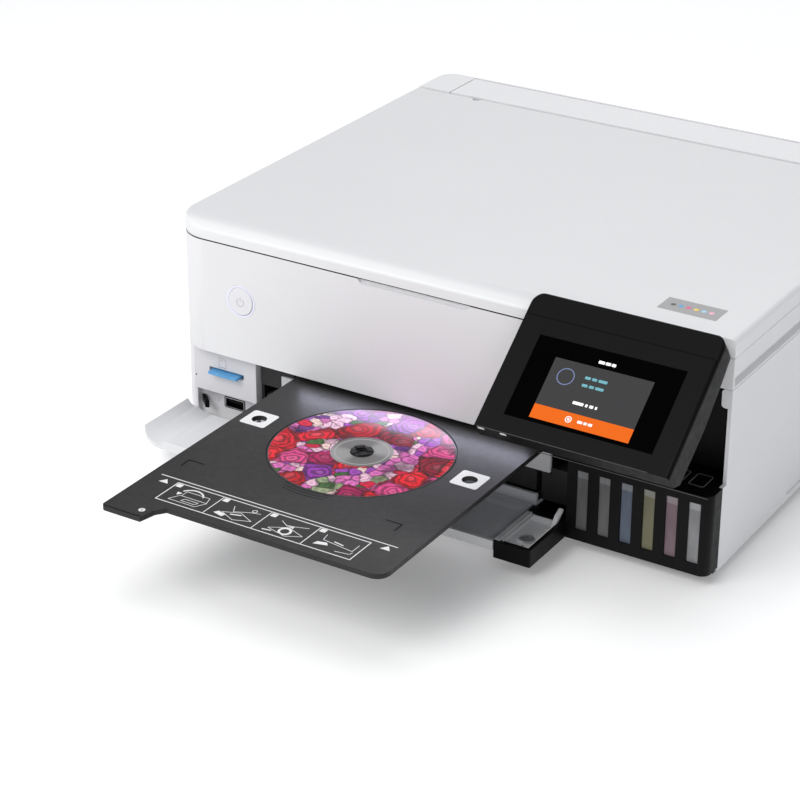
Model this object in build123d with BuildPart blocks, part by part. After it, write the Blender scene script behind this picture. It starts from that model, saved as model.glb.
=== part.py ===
from build123d import *
import os
from math import sin, cos, radians

os.makedirs("parts", exist_ok=True)

# ---------------------------------------------------------------------------
# Inkjet multifunction printer with a disc tray, millimetres.
# X to the right, Y to the back, Z up; the origin is on the table, 201.5 mm
# left of the right face and halfway along the depth.  Rest pose: front cover open, disc tray fed out,
# touch panel tilted up, card in its slot.
# ---------------------------------------------------------------------------
W = 408.5          # overall width
HW = 201.5         # right face
XL = HW - W        # left face
XM = (HW + XL) / 2
Y_BLACK = -184.5   # plane of the ink unit and the closed touch panel
Y_WHITE = -179.5   # plane of the white front
Y_REAR = 184.5
H = 162.0          # height with the lid closed
Z_LID = 150.0      # underside of the document cover
Z_SCAN = 128.7     # underside of the scanner unit
FLOOR = 5.6        # inner floor of the base pan
R_CORNER = 25.4    # plan radius of the front left corner
WALL = 2.5
CX, CY = XL + R_CORNER, Y_WHITE + R_CORNER   # centre of the corner arc

HINGE_Y, HINGE_Z, HINGE_R = 137.4, 159.0, 3.0  # scanner and lid hinge line
Y_SEAM = 141.2     # front of the fixed rear tower
NOTCH_X = 69.9     # left edge of the notch for the touch panel
Y_NOTCH = -162.8   # back plane of that notch

DOOR_Y, DOOR_Z = -178.5, 14.0                  # front cover hinge line
PANEL_Y, PANEL_Z, TILT = -172.2, 152.4, 51.0   # touch panel hinge line, rest tilt
PX0, PX1 = 70.4, 201.0                         # touch panel width
PANEL_T, PANEL_BOT = 15.0, 64.8
LID_RUN, LID_DROP, LID_R1 = 14.0, 5.0, 3.4   # soft upper edge of the lid

INK_X0, INK_TOP, INK_BOT = 102.7, 64.3, 8.5    # ink unit
WIN_X, WIN_PITCH, WIN_W = 109.3, 15.49, 8.1
WIN_Z0, WIN_Z1 = 16.2, 58.4

TRAY_X0, TRAY_X1, TRAY_Y0, TRAY_Y1 = -108.3, 81.3, -369.2, -96.0
TRAY_TOP, TRAY_T = 64.2, 3.3
DISC_X, DISC_Y, DISC_R = -12.5, -244.4, 60.0
TC_Y, TC_Z = -92.5, 112.0                      # hinge line of the filler cover


def block(x0, x1, y0, y1, z0, z1, mode=Mode.ADD):
    with Locations(((x0 + x1) / 2, (y0 + y1) / 2, (z0 + z1) / 2)):
        Box(x1 - x0, y1 - y0, z1 - z0, mode=mode)


def rod_x(x0, x1, y, z, r, mode=Mode.ADD):
    with Locations(Location(((x0 + x1) / 2, y, z), (0, 90, 0))):
        Cylinder(r, x1 - x0, mode=mode)


def rod_y(y0, y1, x, z, r, mode=Mode.ADD):
    with Locations(Location((x, (y0 + y1) / 2, z), (90, 0, 0))):
        Cylinder(r, y1 - y0, mode=mode)


def rod_z(z0, z1, x, y, r, mode=Mode.ADD):
    with Locations((x, y, (z0 + z1) / 2)):
        Cylinder(r, z1 - z0, mode=mode)


def save(builder, name):
    builder.part.label = name
    export_step(builder.part, "parts/" + name + ".step")


# plane with its local x along +Y and local y along +Z, looking along +X
YZ = Plane(origin=(0, 0, 0), x_dir=(0, 1, 0), z_dir=(1, 0, 0))
XZ = Plane(origin=(0, 0, 0), x_dir=(1, 0, 0), z_dir=(0, -1, 0))

# ============================ fixed body ====================================

# base pan: floor, upstand and bosses
with BuildPart() as base_pan:
    block(-204.1, 198.6, -168.0, 181.6, 3.0, 7.6)
    fillet(base_pan.edges().filter_by(Axis.Z).group_by(Axis.Y)[-1], 11.6)
    chamfer(base_pan.edges().filter_by(Axis.Z).sort_by(lambda e: e.center().X + e.center().Y)[0], 10.6)
    block(-190.0, 196.6, -166.0, 170.0, FLOOR, 8.0, Mode.SUBTRACT)
    # guide ribs that carry the lower cassette
    for x in (-130.0, -75.0, 10.0, 66.0):
        block(x, x + 3.0, -163.0, 60.0, FLOOR, 19.9)
        block(x, x + 3.0, 84.0, 150.0, FLOOR, 19.9)
    block(-130.0, 69.0, 147.0, 150.0, FLOOR, 19.9)
    # sill in front of the lower cassette
    block(-140.8, 75.0, -172.6, -160.0, 17.4, 19.9)
    # seat of the ink unit
    block(110.0, 190.0, -160.0, -95.0, FLOOR, INK_BOT)
    # lug of the front cover hinge, carried on a tongue
    block(-152.5, -148.5, -178.5, -167.0, 3.0, 6.4)
    block(-152.5, -148.5, -180.3, -176.7, 3.0, 14.0)
    rod_x(-152.5, -148.5, DOOR_Y, DOOR_Z, 3.4)
    rod_x(-153.0, -148.0, DOOR_Y, DOOR_Z, 1.56, Mode.SUBTRACT)
save(base_pan, "base_pan")

# four rubber feet under the base pan
with BuildPart() as rubber_feet:
    for x in (-172.0, 172.0):
        for y in (-140.0, 150.0):
            rod_z(0.0, 3.0, x, y, 9.0)
    chamfer(rubber_feet.edges().group_by(Axis.Z)[0], 0.5)
save(rubber_feet, "rubber_feet")

# outer housing: side walls, back wall and the rear tower
with BuildPart() as outer_housing:
    # walls up to the scanner seam
    with BuildSketch(Plane.XY.offset(6.0)) as shell_out:
        with Locations((XM, (CY + Y_REAR) / 2)):
            Rectangle(W, Y_REAR - CY)
        fillet(shell_out.vertices().group_by(Axis.Y)[-1], 14.0)
    extrude(amount=Z_SCAN - 0.4 - 6.0)
    block(HW - WALL, HW, -168.0, CY + 1, 6.0, 64.3)
    block(HW - WALL, HW, Y_NOTCH, CY + 1, 64.0, Z_SCAN - 0.4)
    with BuildSketch(Plane.XY.offset(5.0)) as shell_in:
        with Locations((XM, (CY - 20 + Y_REAR - WALL) / 2)):
            Rectangle(W - 2 * WALL, Y_REAR - WALL - CY + 20)
        fillet(shell_in.vertices().group_by(Axis.Y)[-1], 11.5)
    extrude(amount=140.0, mode=Mode.SUBTRACT)
    # return at the front right, under the scanner unit
    with BuildSketch(Plane.XZ.offset(-Y_NOTCH - 2.6)) as nib:
        with Locations(((194.6 + HW - WALL) / 2, (115.8 + Z_SCAN - 0.4) / 2)):
            Rectangle(HW - WALL - 194.6, Z_SCAN - 0.4 - 115.8)
        fillet(nib.vertices().group_by(Axis.X)[0], 2.4)
    extrude(amount=2.6)
    # lower left corner, between the front cover and the side wall
    with BuildSketch(Plane.XY.offset(6.0)):
        with Locations((CX, CY)):
            Circle(R_CORNER)
            Circle(R_CORNER - WALL, mode=Mode.SUBTRACT)
            with Locations((R_CORNER, 0)):
                Rectangle(2 * R_CORNER, 4 * R_CORNER, mode=Mode.SUBTRACT)
            with Locations((0, R_CORNER)):
                Rectangle(4 * R_CORNER, 2 * R_CORNER, mode=Mode.SUBTRACT)
            with Locations((0, -R_CORNER - 14.0)):
                Rectangle(4 * R_CORNER, 2 * R_CORNER, mode=Mode.SUBTRACT)
    extrude(amount=60.6)
    # rear tower up to the top surface
    with BuildSketch(Plane.XY.offset(Z_SCAN - 0.4)) as tower_out:
        with Locations((XM, (Y_SEAM + Y_REAR) / 2)):
            Rectangle(W, Y_REAR - Y_SEAM)
        fillet(tower_out.vertices().group_by(Axis.Y)[-1], 14.0)
    extrude(amount=H - Z_SCAN + 0.4)
    with BuildSketch(Plane.XY.offset(Z_SCAN - 1.0)) as tower_in:
        with Locations((XM, (Y_SEAM - 30 + Y_REAR - WALL) / 2)):
            Rectangle(W - 2 * WALL, Y_REAR - WALL - Y_SEAM + 30)
        fillet(tower_in.vertices().group_by(Axis.Y)[-1], 11.5)
    extrude(amount=H - WALL - Z_SCAN + 1.0, mode=Mode.SUBTRACT)
    block(-178.6, 178.6, Y_SEAM - 1, 181.4, Z_SCAN + 8, H + 1, Mode.SUBTRACT)
    # openings in the back wall: duplex cover, inlet, ports
    block(-120.0, 120.0, 180.0, 186.0, 30.0, 112.0, Mode.SUBTRACT)
    block(-178.0, -152.0, 180.0, 186.0, 18.0, 34.0, Mode.SUBTRACT)
    block(138.0, 180.0, 180.0, 186.0, 20.0, 38.0, Mode.SUBTRACT)
    # pin bores of the rear feed cover
    rod_x(-183.0, -178.0, 178.6, 160.3, 1.0, Mode.SUBTRACT)
    rod_x(178.0, 183.0, 178.6, 160.3, 1.0, Mode.SUBTRACT)
    # grip hollows low on both sides
    block(XL - 1, XL + 1.0, -60.0, 60.0, 10.0, 24.0, Mode.SUBTRACT)
    block(HW - 1.0, HW + 1, -60.0, 60.0, 10.0, 24.0, Mode.SUBTRACT)
    # ears inside the walls for the rear cover's clips
    block(-124.0, -120.4, 174.0, 182.4, 60.0, 80.0)
    block(120.4, 124.0, 174.0, 182.4, 60.0, 80.0)
    # soft upper edge of the tower
    top_back = outer_housing.edges().filter_by(Axis.X).group_by(Axis.Z)[-1].sort_by(Axis.Y)[-1]
    fillet(top_back, 2.2)
save(outer_housing, "outer_housing")

# white front panel: wraps the left corner, finger scoop, button hole
with BuildPart() as front_panel:
    with BuildSketch(Plane.XY.offset(67.0)):
        with BuildLine():
            l1 = Line((NOTCH_X, Y_WHITE), (CX, Y_WHITE))
            l2 = RadiusArc((CX, Y_WHITE), (XL, CY), R_CORNER)
            l3 = Line((XL, CY), (XL + WALL, CY))
            l4 = RadiusArc((XL + WALL, CY), (CX, Y_WHITE + WALL), -(R_CORNER - WALL))
            l5 = Line((CX, Y_WHITE + WALL), (NOTCH_X, Y_WHITE + WALL))
            l6 = Line((NOTCH_X, Y_WHITE + WALL), (NOTCH_X, Y_WHITE))
        make_face()
    extrude(amount=149.6 - 67.0)
    # returns: bottom lip above the mouth, right edge
    block(-174.0, NOTCH_X, Y_WHITE + WALL, -170.5, 67.0, 69.2)
    block(NOTCH_X - 2.2, NOTCH_X, Y_WHITE + WALL, -151.0, 67.0, 126.0)
    # finger scoop in the upper edge
    with BuildSketch(Plane(origin=(-15.0, Y_WHITE - 1, 149.6), x_dir=(1, 0, 0), z_dir=(0, 1, 0))):
        SlotOverall(84.0, 7.2)
    extrude(amount=3.2, mode=Mode.SUBTRACT)
    # hole of the power button and its light ring
    rod_y(-182.0, -174.0, -150.5, 110.8, 11.6, Mode.SUBTRACT)
    # boss behind the button
    rod_y(-174.0, -172.0, -150.5, 110.8, 12.5)
    rod_y(-177.0, -172.0, -150.5, 110.8, 3.6, Mode.SUBTRACT)
    block(-166.5, -162.0, -177.2, -172.0, 104.0, 118.0)
    block(-139.0, -134.5, -177.2, -172.0, 104.0, 118.0)
    block(-166.5, -134.5, -174.0, -172.0, 104.0, 118.0)
    rod_y(-175.0, -171.0, -150.5, 110.8, 3.6, Mode.SUBTRACT)
save(front_panel, "front_panel")

# translucent light ring round the power button
with BuildPart() as power_ring:
    rod_y(-179.7, -176.2, -150.5, 110.8, 11.5)
    rod_y(-180.0, -176.0, -150.5, 110.8, 10.1, Mode.SUBTRACT)
save(power_ring, "power_ring")

# card panel: slot face above, recessed port face below
CARD_X0, CARD_X1 = -197.3, -145.2
with BuildPart() as card_panel:
    block(CARD_X0, CARD_X1, -171.5, -169.0, 32.0, 66.6)            # upper face
    block(-199.2, -196.9, -169.0, -158.0, 8.0, 66.6)               # left return
    block(-199.2, CARD_X1, -169.0, -158.0, 32.0, 34.2)             # ledge
    block(-199.2, CARD_X1, -164.5, -162.3, 8.0, 32.0)              # port face
    block(CARD_X1 - 2.4, CARD_X1, -171.5, -120.0, 8.0, 66.6)       # right end wall
    # slot for the card
    block(-184.4, -155.6, -172.0, -168.5, 47.2, 51.0, Mode.SUBTRACT)
    # window of the port
    block(-176.2, -161.2, -165.0, -161.0, 19.2, 26.4, Mode.SUBTRACT)
    chamfer(card_panel.edges().filter_by(Axis.X).group_by(Axis.Z)[-1], 0.6)
save(card_panel, "card_panel")

# metal socket behind the card slot
with BuildPart() as card_socket:
    block(-184.2, -155.8, -168.9, -139.0, 45.8, 52.2)
    block(-182.4, -157.6, -170.0, -141.0, 47.6, 50.5, Mode.SUBTRACT)
save(card_socket, "card_socket")

# metal shell and tongue of the host port
with BuildPart() as usb_port:
    block(-176.0, -161.4, -164.7, -148.0, 19.4, 26.2)
    block(-175.2, -162.2, -165.0, -149.0, 20.2, 25.4, Mode.SUBTRACT)
    block(-174.4, -163.0, -163.7, -149.0, 23.2, 24.9)
save(usb_port, "usb_port")

# ink unit case: six windows, open top for the filler necks
with BuildPart() as ink_tank_case:
    with BuildSketch(Plane.XY.offset(INK_BOT)):
        with Locations(((INK_X0 + HW) / 2, (Y_BLACK - 86.0) / 2)):
            Rectangle(HW - INK_X0, Y_BLACK * -1 - 86.0)
        r_v = INK_X0
    extrude(amount=INK_TOP - INK_BOT)
    fr = ink_tank_case.edges().filter_by(Axis.Z).sort_by(lambda e: e.center().X - e.center().Y)[-1]
    fillet(fr, 6.5)
    # step for the housing wall on the right side
    block(HW - WALL - 0.2, HW + 1, -168.3, -80.0, 0.0, 70.0, Mode.SUBTRACT)
    # hollow
    block(INK_X0 + 3.0, HW - WALL - 2.0, -182.3, -88.5, 11.0, INK_TOP - 2.4, Mode.SUBTRACT)
    # necks come out through one long opening in the top
    block(INK_X0 + 4.0, HW - WALL - 2.6, -140.0, -100.0, 50.0, 70.0, Mode.SUBTRACT)
    # windows
    for i in range(6):
        x = WIN_X + i * WIN_PITCH
        block(x, x + WIN_W, -186.0, -181.0, WIN_Z0, WIN_Z1, Mode.SUBTRACT)
    # bore for the right hinge pin of the front cover
    rod_x(INK_X0 - 1, INK_X0 + 3.5, DOOR_Y, DOOR_Z, 2.56, Mode.SUBTRACT)
save(ink_tank_case, "ink_tank_case")

# six ink tanks with a filler neck each
for i in range(6):
    xc = WIN_X + i * WIN_PITCH + WIN_W / 2
    x0, x1 = xc - 7.2, xc + 7.2
    if i == 0:
        x0 = INK_X0 + 3.4
    if i == 5:
        x1 = HW - WALL - 2.4
    with BuildPart() as tank:
        block(x0, x1, -181.8, -90.0, 18.0 if i == 0 else 11.4, 61.0)
        if i == 0:
            block(x0, x1, -172.0, -90.0, 11.4, 18.0)
        # clear window block that stands in the case's window
        block(xc - 3.95, xc + 3.95, -183.4, -181.8, WIN_Z0 + 0.1, WIN_Z1 - 0.1)
        xn = min(xc, 189.2)
        rod_z(61.0, 72.0, xn, -120.0, 5.4)
        rod_z(40.0, 73.0, xn, -120.0, 3.4, Mode.SUBTRACT)
    save(tank, "ink_tank_%d" % (i + 1))

# row of filler caps on the necks
with BuildPart() as tank_caps:
    for i in range(6):
        xc = min(WIN_X + i * WIN_PITCH + WIN_W / 2, 189.2)
        rod_z(72.0, 80.0, xc, -120.0, 6.3)
        rod_z(66.0, 72.0, xc, -120.0, 3.3)
        block(xc - 2.0, xc + 2.0, -130.0, -124.0, 74.0, 77.0)
    chamfer(tank_caps.edges().filter_by(GeomType.CIRCLE).group_by(Axis.Z)[-1], 0.8)
save(tank_caps, "tank_caps")

# dark liner of the recess behind the touch panel
with BuildPart() as panel_recess:
    block(71.2, 104.1, -150.0, -147.6, 66.6, 128.2)
    block(71.2, 73.2, -168.8, -147.6, 66.6, 128.2)
    block(71.2, 102.3, -168.8, -147.6, 66.6, 68.4)
save(panel_recess, "panel_recess")

# inner frame of the output mouth, with the rails of the disc tray
with BuildPart() as mouth_frame:
    block(-144.8, -142.6, -165.4, -20.0, FLOOR, 66.4)
    block(-144.8, -142.6, -20.0, 60.0, FLOOR, 64.4)
    block(99.8, 102.2, -165.4, -20.0, FLOOR, 66.0)
    block(99.8, 102.2, -20.0, 60.0, FLOOR, 64.4)
    # stop block left of the sheet tray
    block(-143.0, -126.4, -168.0, -163.0, 46.9, 57.9)
    block(76.0, 99.8, -168.2, -165.6, 21.0, 40.8)
    block(82.8, 99.8, -168.2, -165.6, 40.8, 45.4)
    block(77.4, 99.8, -166.0, -163.6, 21.0, 45.4)
    block(77.4, 99.8, -166.0, -146.0, 43.4, 45.4)
    block(77.4, 99.8, -148.4, -146.0, 45.4, 60.2)
    block(-144.8, -142.6, -24.0, -20.0, 60.0, 69.0)
    block(99.8, 102.2, -24.0, -20.0, 60.0, 69.0)
    block(77.4, 79.6, -166.0, -20.0, 21.0, 60.2)
    block(-142.6, -116.0, -168.0, -165.6, 57.8, 66.4)
    # lower rails
    block(-142.6, -101.0, -165.6, -20.0, 57.8, 60.5)
    block(74.0, 99.8, -166.0, -20.0, 57.8, 60.5)
    # upper lips
    block(-118.0, -101.0, -165.6, -20.0, 64.7, 66.4)
    block(-118.0, -110.0, -165.6, -20.0, 60.5, 66.4)
    block(83.0, 99.8, -163.6, -20.0, 60.5, 66.0)
    block(74.0, 99.8, -163.6, -20.0, 64.7, 66.0)
    # cross bar above the tray
    block(-144.8, 102.2, -24.0, -20.0, 66.4, 69.0)
save(mouth_frame, "mouth_frame")

# rear cover with its grip
with BuildPart() as rear_cover:
    block(-119.6, 119.6, 181.0, 184.4, 30.4, 111.6)
    block(-119.6, -117.0, 157.0, 181.0, 30.4, 111.6)
    block(117.0, 119.6, 157.0, 181.0, 30.4, 111.6)
    block(-20.0, 20.0, 183.0, 186.0, 96.0, 106.0, Mode.SUBTRACT)
    fillet(rear_cover.edges().filter_by(Axis.Y).group_by(Axis.Y)[-1], 1.2)
save(rear_cover, "rear_cover")

# rear paper feeder: front wall with the hinge ears, slanted hopper plate
with BuildPart() as paper_feeder:
    block(-204.1, 198.6, Y_SEAM + 0.2, Y_SEAM + 2.6, 118.0, 157.6)
    with BuildSketch(YZ.offset(-155.0)):
        with BuildLine():
            Polyline((177.0, 156.5), (180.0, 156.5), (128.0, 73.0), (125.6, 74.6), close=True)
        make_face()
    extrude(amount=310.0)
    block(-157.4, -155.0, 143.8, 180.0, 100.0, 157.0)
    block(155.0, 157.4, 143.8, 180.0, 100.0, 157.0)
    for s in (-1, 1):
        xa, xb = (149.8, 154.2) if s > 0 else (-154.2, -149.8)
        block(xa, xb, Y_SEAM, Y_SEAM + 3.0, 157.0, 158.0, Mode.SUBTRACT)
save(paper_feeder, "paper_feeder")

# steel brackets and pins of the scanner and lid hinge
with BuildPart() as hinge_pins:
    rod_x(140.0, 164.0, HINGE_Y, HINGE_Z, 1.2)
    rod_x(-164.0, -140.0, HINGE_Y, HINGE_Z, 1.2)
    for s in (-1, 1):
        xa, xb = (150.0, 154.0) if s > 0 else (-154.0, -150.0)
        rod_x(xa, xb, HINGE_Y, HINGE_Z, 2.0)
        block(xa, xb, HINGE_Y, Y_SEAM + 3.6, 157.0, HINGE_Z - 0.9)
        block(xa, xb, Y_SEAM + 2.6, Y_SEAM + 3.6, 150.0, HINGE_Z - 0.9)
save(hinge_pins, "hinge_pins")

# pressed steel chassis with the carriage rail
with BuildPart() as chassis_rail:
    block(-192.0, 192.0, 50.0, 51.5, 66.8, 118.0)
    block(-192.0, 192.0, 44.0, 50.0, 116.5, 118.0)
    block(-192.0, 192.0, 44.0, 45.5, 112.0, 116.5)
    block(-192.0, 192.0, 38.0, 50.0, 66.8, 68.3)
    block(-192.0, -190.5, 0.0, 51.5, 7.6, 118.0)
    block(190.5, 192.0, 0.0, 51.5, FLOOR, 118.0)
    block(-158.0, -146.0, 30.0, 52.0, 64.0, 86.0, Mode.SUBTRACT)
    for x in (-120.0, -60.0, 0.0, 60.0, 120.0):
        block(x - 12, x + 12, 49.0, 52.0, 82.0, 100.0, Mode.SUBTRACT)
    # bracket and axle of the belt's idler pulley
    rod_y(51.0, 61.6, -170.0, 106.0, 2.0)
    block(-176.0, -164.0, 60.3, 62.3, 95.0, 117.0)
    block(-176.0, -164.0, 51.0, 62.3, 93.0, 95.0)
    # side plate and bracket that carries the lugs of the filler cover
    block(190.5, 192.0, -85.4, 10.0, 30.0, 70.0)
    block(106.0, 196.0, -85.4, -83.9, 30.0, 114.0)
    for x in (113.5, 183.5):
        block(x, x + 6.0, -92.5, -85.0, TC_Z - 2.8, TC_Z + 2.0)
        rod_x(x, x + 6.0, TC_Y, TC_Z, 2.8)
        rod_x(x - 1, x + 7.0, TC_Y, TC_Z, 1.56, Mode.SUBTRACT)
save(chassis_rail, "chassis_rail")

# toothed belt loop of the carriage
BELT_Y, BELT_Z = 57.0, 106.0
PUL_R = 6.0
with BuildPart() as timing_belt:
    with BuildSketch(Plane.XZ.offset(-BELT_Y + 2.5)):
        with Locations((0, BELT_Z)):
            SlotOverall(340.0 + 2 * PUL_R + 2.4, 2 * PUL_R + 2.4)
            SlotOverall(340.0 + 2 * PUL_R + 0.2, 2 * PUL_R + 0.2, mode=Mode.SUBTRACT)
    extrude(amount=-5.0)
save(timing_belt, "timing_belt")

# belt pulleys
for name, x in (("drive_pulley", 170.0), ("idler_pulley", -170.0)):
    with BuildPart() as pulley:
        rod_y(54.0, 60.0, x, BELT_Z, PUL_R - 0.2)
        with PolarLocations(PUL_R - 0.2, 14):
            pass
        if name == "idler_pulley":
            rod_y(53.0, 61.0, x, BELT_Z, 2.05, Mode.SUBTRACT)
        else:
            rod_y(53.0, 61.0, x, BELT_Z, 1.55, Mode.SUBTRACT)
        for k in range(12):
            a = radians(30.0 * k)
            rod_y(53.0, 61.0, x + (PUL_R - 0.1) * cos(a), BELT_Z + (PUL_R - 0.1) * sin(a), 0.45, Mode.SUBTRACT)
    save(pulley, name)

# carriage motor with its shaft and the idler's bracket and axle
with BuildPart() as carriage_motor:
    rod_y(61.0, 92.0, 170.0, BELT_Z, 15.0)
    block(153.0, 187.0, 60.2, 61.6, 90.0, 117.0)
    rod_y(51.5, 62.0, 170.0, BELT_Z, 1.5)
    block(153.0, 156.0, 51.5, 61.6, 90.0, 95.0)
    block(184.0, 187.0, 51.5, 61.6, 90.0, 95.0)
save(carriage_motor, "carriage_motor")

# platen with its ribs
with BuildPart() as platen:
    block(-142.5, 99.7, -16.0, 40.0, 56.9, 58.6)
    for k in range(11):
        x = -132.0 + 22.0 * k
        block(x - 0.8, x + 0.8, -14.0, 36.0, 58.6, 60.2)
    # bearing stands of the feed roller on a common foot
    block(-148.0, 108.0, 64.0, 80.0, FLOOR, FLOOR + 2.2)
    for x in (-148.0, 104.0):
        block(x, x + 4.0, 64.0, 80.0, FLOOR, 60.0)
        rod_x(x - 1, x + 5, 72.0, 56.0, 3.06, Mode.SUBTRACT)
save(platen, "platen")

# maintenance unit: cap, wiper and sled
with BuildPart() as maintenance_unit:
    block(112.0, 188.0, -44.0, 44.0, FLOOR, 50.0)
    block(116.0, 184.0, -40.0, 40.0, 44.0, 52.0, Mode.SUBTRACT)
    block(128.0, 172.0, -24.0, 24.0, 44.0, 60.0)
    block(131.0, 169.0, -21.0, 21.0, 57.0, 61.0, Mode.SUBTRACT)
    block(118.5, 119.7, -20.0, 20.0, 44.0, 62.6)
save(maintenance_unit, "maintenance_unit")

# boards and electrics
with BuildPart() as mainboard:
    block(-186.0, -150.0, -20.0, 88.0, 12.0, 13.6)
    block(-176.0, -160.0, 20.0, 36.0, 13.6, 15.6)
    block(-182.0, -156.0, 44.0, 54.0, 13.6, 20.0)
    block(-170.0, -154.0, 64.0, 76.0, 13.6, 15.0)
    for y in (-10.0, 78.0):
        for x in (-182.0, -154.0):
            rod_z(FLOOR, 12.0, x, y, 3.0)
save(mainboard, "mainboard")

with BuildPart() as power_supply:
    block(112.0, 196.0, 62.0, 152.0, FLOOR, 54.0)
    fillet(power_supply.edges().filter_by(Axis.Z), 2.0)
    for k in range(7):
        block(120.0 + 10 * k, 124.0 + 10 * k, 76.0, 140.0, 52.5, 55.0, Mode.SUBTRACT)
save(power_supply, "power_supply")

with BuildPart() as power_inlet:
    block(-177.0, -153.0, 158.0, 184.0, 18.4, 33.6)
    block(-174.6, -155.4, 172.0, 185.0, 21.4, 30.6, Mode.SUBTRACT)
    rod_y(170.0, 181.0, -169.3, 26.0, 1.2)
    rod_y(170.0, 181.0, -160.7, 26.0, 1.2)
save(power_inlet, "power_inlet")

with BuildPart() as rear_ports:
    block(138.6, 179.4, 158.0, 184.0, 20.4, 37.6)
    block(142.0, 154.4, 166.0, 185.0, 23.4, 34.8, Mode.SUBTRACT)
    block(145.0, 151.4, 166.0, 180.0, 27.4, 31.0)
    block(160.0, 176.0, 166.0, 185.0, 22.4, 35.6, Mode.SUBTRACT)
save(rear_ports, "rear_ports")

# paper feed motor with its pinion shaft
FEED_Y, FEED_Z = 72.0, 56.0
with BuildPart() as feed_motor:
    rod_x(-186.0, -158.0, 104.0, 56.0, 13.0)
    block(-158.4, -157.0, 88.0, 120.0, 40.0, 72.0)
    rod_x(-158.0, -148.0, 104.0, 56.0, 1.2)
    block(-186.0, -158.0, 98.0, 110.0, FLOOR, 44.0)
save(feed_motor, "feed_motor")


def gear(x0, x1, y, z, r_tip, r_root, teeth, phase=0.0):
    rod_x(x0, x1, y, z, r_root)
    for k in range(teeth):
        a = radians(360.0 / teeth * k + phase)
        w_ = 3.14159 * r_root / teeth * 0.42
        with BuildSketch(YZ.offset(x0)) as tooth:
            with BuildLine():
                u = (cos(a), sin(a))
                v = (-sin(a), cos(a))
                Polyline(*[(y + u[0] * rr + v[0] * ww, z + u[1] * rr + v[1] * ww)
                           for rr, ww in ((r_root - 0.6, w_), (r_tip, w_ * 0.55), (r_tip, -w_ * 0.55), (r_root - 0.6, -w_))],
                         close=True)
            make_face()
        extrude(tooth.sketch, amount=x1 - x0)


# feed roller: steel shaft, rubber sleeves, gear (36 teeth, module 1.25 pair with 12)
with BuildPart() as feed_roller:
    rod_x(-154.5, 108.0, FEED_Y, FEED_Z, 3.0)
    for x in (-110.0, -60.0, -10.0, 40.0):
        rod_x(x - 12, x + 12, FEED_Y, FEED_Z, 6.0)
    gear(-154.5, -149.5, FEED_Y, FEED_Z, 24.6, 22.8, 36, 0.0)
save(feed_roller, "feed_roller")

with BuildPart() as motor_pinion:
    gear(-154.5, -149.5, 104.0, 56.0, 8.8, 7.0, 12, 15.0)
    rod_x(-155.5, -148.5, 104.0, 56.0, 1.25, Mode.SUBTRACT)
save(motor_pinion, "motor_pinion")

# ============================ moving bodies =================================

# power button with a stem
with BuildPart() as power_button:
    rod_y(-180.2, -177.4, -150.5, 110.8, 9.8)
    rod_y(-177.4, -171.0, -150.5, 110.8, 3.2)
    fillet(power_button.edges().filter_by(GeomType.CIRCLE).group_by(Axis.Y)[0], 0.6)
save(power_button, "power_button")

# memory card
with BuildPart() as sd_card:
    block(-182.0, -158.0, -176.6, -144.6, 47.95, 50.05)
    corner = sd_card.edges().filter_by(Axis.Z).sort_by(lambda e: e.center().X + e.center().Y)[-1]
    chamfer(corner, 3.0)
save(sd_card, "sd_card")

# front cover, white part: skin with the curled left end and a rim
with BuildPart() as front_cover:
    with BuildSketch(Plane.XZ.offset(231.0)):
        with BuildLine():
            a1 = radians(53.5)
            zc = 13.0 + R_CORNER
            o_end = (CX - R_CORNER * sin(a1), zc - R_CORNER * cos(a1))
            i_end = (CX - (R_CORNER - WALL) * sin(a1), zc - (R_CORNER - WALL) * cos(a1))
            Line((75.6, 13.0), (CX, 13.0))
            RadiusArc((CX, 13.0), o_end, R_CORNER)
            Line(o_end, i_end)
            RadiusArc(i_end, (CX, 13.0 + WALL), -(R_CORNER - WALL))
            Line((CX, 13.0 + WALL), (75.6, 13.0 + WALL))
            Line((75.6, 13.0 + WALL), (75.6, 13.0))
        make_face()
    extrude(amount=-(231.0 - 174.2))
    # rims along the free edge and the right end
    block(CX, 75.6, -231.0, -228.6, 13.0, 19.6)
    block(73.4, 75.6, -231.0, -184.0, 13.0, 16.6)
    # rounded front left corner in plan
    with BuildSketch(Plane.XY.offset(5.0)):
        with BuildLine():
            Polyline((-216.0, -240.0), (-190.0, -240.0), (-190.0, -231.0), close=False)
            RadiusArc((-190.0, -231.0), (-203.0, -218.0), 13.0)
            Polyline((-203.0, -218.0), (-216.0, -218.0), (-216.0, -240.0), close=False)
        make_face()
    extrude(amount=40.0, mode=Mode.SUBTRACT)
    # notch and lug of the left hinge
    block(-153.4, -141.6, -184.4, -170.0, 10.0, 22.0, Mode.SUBTRACT)
    block(-146.6, -141.6, -185.0, -178.0, 13.0, 15.5)
    rod_x(-147.6, -141.6, DOOR_Y, DOOR_Z, 3.0)
    rod_x(-152.3, -147.6, DOOR_Y, DOOR_Z, 1.5)
    block(-147.6, -141.6, -181.6, -174.2, 8.0, 13.0, Mode.SUBTRACT)
    # the curled end's rear corner stays clear of the side wall while closing
    block(-212.0, -190.0, -176.8, -170.0, 19.0, 30.0, Mode.SUBTRACT)
save(front_cover, "front_cover")

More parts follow.
